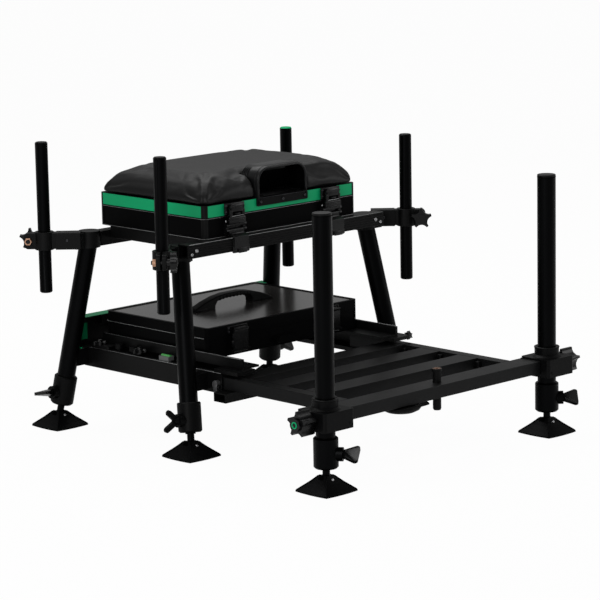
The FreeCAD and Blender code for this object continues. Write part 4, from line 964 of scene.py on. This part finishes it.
class SEATBOX_OT_cushion(bpy.types.Operator):
    """Make the padded seat cushion with its sewn corners and the saddle for the carry strap"""

    bl_idname = "seatbox.cushion"
    bl_label = "Seat cushion"

    def execute(self, context):
        low, high = seat_box("seat_cushion")
        mid, size = (low + high) / 2, high - low
        pad = block((size.x - 0.006, size.y - 0.006, size.z - 0.004), mid)
        round_off(pad, [e for e in pad.edges if upright(e)], 0.013, 4)
        round_off(pad, [e for e in pad.edges if all(v.co.z > mid.z for v in e.verts)], 0.034, 7)
        seat = piece("seat_cushion_cover", pad, "seat_fabric", "seat_lid", "seat_fabric")
        strap_low, strap_high = seat_box("carry_strap")
        cutter = self.saddle(strap_low, strap_high)
        self.even_out(seat, "Solid", 0.004)
        notch = seat.modifiers.new("Saddle", "BOOLEAN")
        notch.object = cutter
        notch.operation = "DIFFERENCE"
        self.even_out(seat, "Even", 0.005)
        bake_modifiers(seat)
        self.crown(seat, low, high)
        bpy.data.objects.remove(cutter)
        self.swell(context, seat)
        self.shape(seat, low, high)
        smooth = seat.modifiers.new("Round", "SUBSURF")
        smooth.levels = smooth.render_levels = 1
        bake_modifiers(seat)
        shade_smooth(seat.data)
        dress(seat, "seat_fabric")
        # painted shade: the saddle's faces under the carry strap are near-black
        saddle_x, saddle_y, saddle_top = strap_high.x + 0.0036, strap_high.y + 0.004, 0.514
        paint_faces(seat, "painted_shade_black",
                    lambda c, n: abs(c.x) < saddle_x and c.y < saddle_y and c.z < saddle_top)
        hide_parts("seat_cushion")
        return {"FINISHED"}

    def saddle(self, low, high):
        """The block that cuts the saddle which the carry strap spans."""
        deep = 0.1
        shape = block((high.x - low.x + 0.007, deep, 0.12),
                      (0, high.y + 0.002 - deep / 2, low.z + 0.055))
        rear = [e for e in shape.edges if all(v.co.y > high.y for v in e.verts) and upright(e)]
        round_off(shape, rear, 0.012, 4)
        return object_of("saddle", shape)

    def even_out(self, seat, name, voxel):
        remesh = seat.modifiers.new(name, "REMESH")
        remesh.mode = "VOXEL"
        remesh.voxel_size = voxel

    def crown(self, seat, low, high):
        """Lower the cover towards its sides and most at its corners."""
        mid, reach = (low + high) / 2, 0.085
        for vert in seat.data.vertices:
            p = vert.co
            side = max(0.0, 1 - ((high.x - mid.x) - abs(p.x - mid.x)) / reach)
            end = max(0.0, 1 - ((high.y - mid.y) - abs(p.y - mid.y)) / reach)
            scale = 1 - 0.07 * (side ** 2 + end ** 2) - 0.36 * (side * end) ** 1.6
            p.z = low.z + (p.z - low.z) * scale

    def swell(self, context, seat):
        """A short cloth run under pressure, with a cap on how far a point may move."""
        frames, most, pinned_high = 20, 0.005, 0.006
        start = [v.co.copy() for v in seat.data.vertices]
        base = min(v.z for v in start)
        pinned = seat.vertex_groups.new(name="base")
        pinned.add([i for i, v in enumerate(start) if v.z < base + pinned_high], 1.0, "REPLACE")
        cloth = seat.modifiers.new("Cover", "CLOTH").settings
        cloth.use_pressure = True
        cloth.uniform_pressure_force = 4.0
        cloth.effector_weights.gravity = 0.0
        cloth.vertex_group_mass = "base"
        cloth.tension_stiffness = cloth.compression_stiffness = 25
        for number in range(1, frames + 1):
            context.scene.frame_set(number)
        graph = context.evaluated_depsgraph_get()
        result = seat.evaluated_get(graph).to_mesh()
        moved = [v.co.copy() for v in result.vertices]
        seat.evaluated_get(graph).to_mesh_clear()
        seat.modifiers.clear()
        context.scene.frame_set(1)
        for vert, before, after in zip(seat.data.vertices, start, moved):
            step = after - before
            if step.length > most:
                step = step.normalized() * most
            vert.co = before + step
        seat.vertex_groups.clear()

    def shape(self, seat, low, high):
        """Draw the corners in along their seams and keep the cover inside its space."""
        mid = (low + high) / 2
        corner, seam_top, seam_deep, seam_half = 0.03, 0.95, 0.0028, 0.0045
        spare, spare_top = 0.001, 0.002
        for vert in seat.data.vertices:
            p = vert.co
            rise = (p.z - low.z) / (high.z - low.z)
            dx = (high.x - mid.x) - abs(p.x - mid.x)
            dy = (high.y - mid.y) - abs(p.y - mid.y)
            # the sewn corner: a narrow groove on the diagonal of each upright edge
            if dx < corner and dy < corner and rise < seam_top:
                off = abs(dx - dy)
                pull = seam_deep * math.exp(-(off / seam_half) ** 2) * (1 - rise * 0.6)
                p.x -= math.copysign(pull, p.x - mid.x)
                p.y -= math.copysign(pull, p.y - mid.y)
            p.x = max(low.x - spare, min(high.x + spare, p.x))
            p.y = max(low.y - spare, min(high.y + spare, p.y))
            p.z = max(low.z, min(high.z + spare_top, p.z))


class SEATBOX_OT_stage(bpy.types.Operator):
    """Set the floor, the lights, the world and the camera"""

    bl_idname = "seatbox.stage"
    bl_label = "Stage"

    def execute(self, context):
        context.scene.view_settings.view_transform = "Standard"
        self.floor()
        self.world(context)
        self.lights(context)
        self.camera(context)
        return {"FINISHED"}

    def floor(self):
        """A pale floor, nearly white to the camera, that takes the object's shadow."""
        tool = bmesh.new()
        bmesh.ops.create_grid(tool, x_segments=1, y_segments=1, size=14.0)
        ground = object_of("floor", tool)
        f = Finish("Pale floor")
        glow = f.node("ShaderNodeEmission", {}, {0: WHITE})
        f.surface = f.node("ShaderNodeMixShader", {}, {0: f.seen() * 0.97, 1: f.surface, 2: glow})
        f.set(Base_Color=(0.86, 0.86, 0.86), Roughness=0.9, Specular_IOR_Level=0.1,
              Emission_Color=(1.0, 1.0, 1.0))
        ground.data.materials.append(f.material)

    def world(self, context):
        """White where the camera sees it, and a soft even light on the object."""
        world = bpy.data.worlds.new("Studio")
        context.scene.world = world
        world.use_nodes = True
        sky = Shading(world.node_tree)
        soft, bright = (sky.node("ShaderNodeBackground", {}, {0: WHITE, 1: strength})
                        for strength in (0.27, 1.0))
        mix = sky.node("ShaderNodeMixShader", {}, {0: sky.seen(), 1: soft, 2: bright})
        sky.end("ShaderNodeOutputWorld", mix)

    def lights(self, context):
        """Three softboxes: place, height of the aim, power and size."""
        for name, at, aim, power, size in (
                ("top softbox", (0.4, 0.9, 2.6), 0.35, 34, (2.2, 2.2)),
                ("left softbox", (-2.6, -1.1, 1.5), 0.35, 26, (1.2, 1.8)),
                ("right softbox", (2.3, -1.8, 1.4), 0.3, 12, (1.2, 1.6))):
            data = bpy.data.lights.new(name, "AREA")
            data.energy = power
            data.shape = "RECTANGLE"
            data.size, data.size_y = size
            lamp = bpy.data.objects.new(name, data)
            context.scene.collection.objects.link(lamp)
            way = (Vector((0, 0, aim)) - Vector(at)).normalized()
            turn = way.to_track_quat("-Z", "Y").to_matrix().to_4x4()
            lamp.matrix_world = Matrix.Translation(at) @ turn

    def camera(self, context):
        """The photograph's view: its right, its up and the point that it looks at."""
        sizes = context.scene.seat_box_sizes
        data = bpy.data.cameras.new("photo view")
        data.sensor_width = 36.0
        data.lens = sizes.lens
        data.clip_end = 100
        camera = bpy.data.objects.new("photo view", data)
        context.scene.collection.objects.link(camera)
        right = Vector((0.7145132, -0.6993858, -0.0181772))
        up = Vector((0.1427791, 0.1203343, 0.9824122))
        back = right.cross(up)
        target = Vector((-0.00493, -0.00876, 0.26419))
        spin = Matrix((right, up, back)).transposed().to_4x4()
        camera.matrix_world = Matrix.Translation(target + back * sizes.distance) @ spin
        context.scene.camera = camera


class SEATBOX_PT_panel(bpy.types.Panel):
    """Buttons for the pieces of the seat box"""

    bl_idname = "SEATBOX_PT_panel"
    bl_label = "Seat box"
    bl_space_type = "VIEW_3D"
    bl_region_type = "UI"
    bl_category = "Seat box"

    def draw(self, context):
        layout = self.layout
        for group in (context.scene.seat_box_sizes, context.scene.seat_box_colours):
            for name in group.__annotations__:
                layout.prop(group, name)
        for operator in OPERATORS:
            layout.operator(operator.bl_idname)


OPERATORS = (SEATBOX_OT_stage, SEATBOX_OT_frame, SEATBOX_OT_cushion, SEATBOX_OT_strap,
             SEATBOX_OT_latches, SEATBOX_OT_trim)
CLASSES = (SeatBoxColours, SeatBoxSizes, *OPERATORS, SEATBOX_PT_panel)


def register():
    for item in CLASSES:
        bpy.utils.register_class(item)
    bpy.types.Scene.seat_box_colours = bpy.props.PointerProperty(type=SeatBoxColours)
    bpy.types.Scene.seat_box_sizes = bpy.props.PointerProperty(type=SeatBoxSizes)


def unregister():
    del bpy.types.Scene.seat_box_sizes
    del bpy.types.Scene.seat_box_colours
    for item in reversed(CLASSES):
        bpy.utils.unregister_class(item)


def main():
    register()
    for operator in OPERATORS:
        group, name = operator.bl_idname.split(".")
        getattr(getattr(bpy.ops, group), name)()


if __name__ == "__main__":
    main()
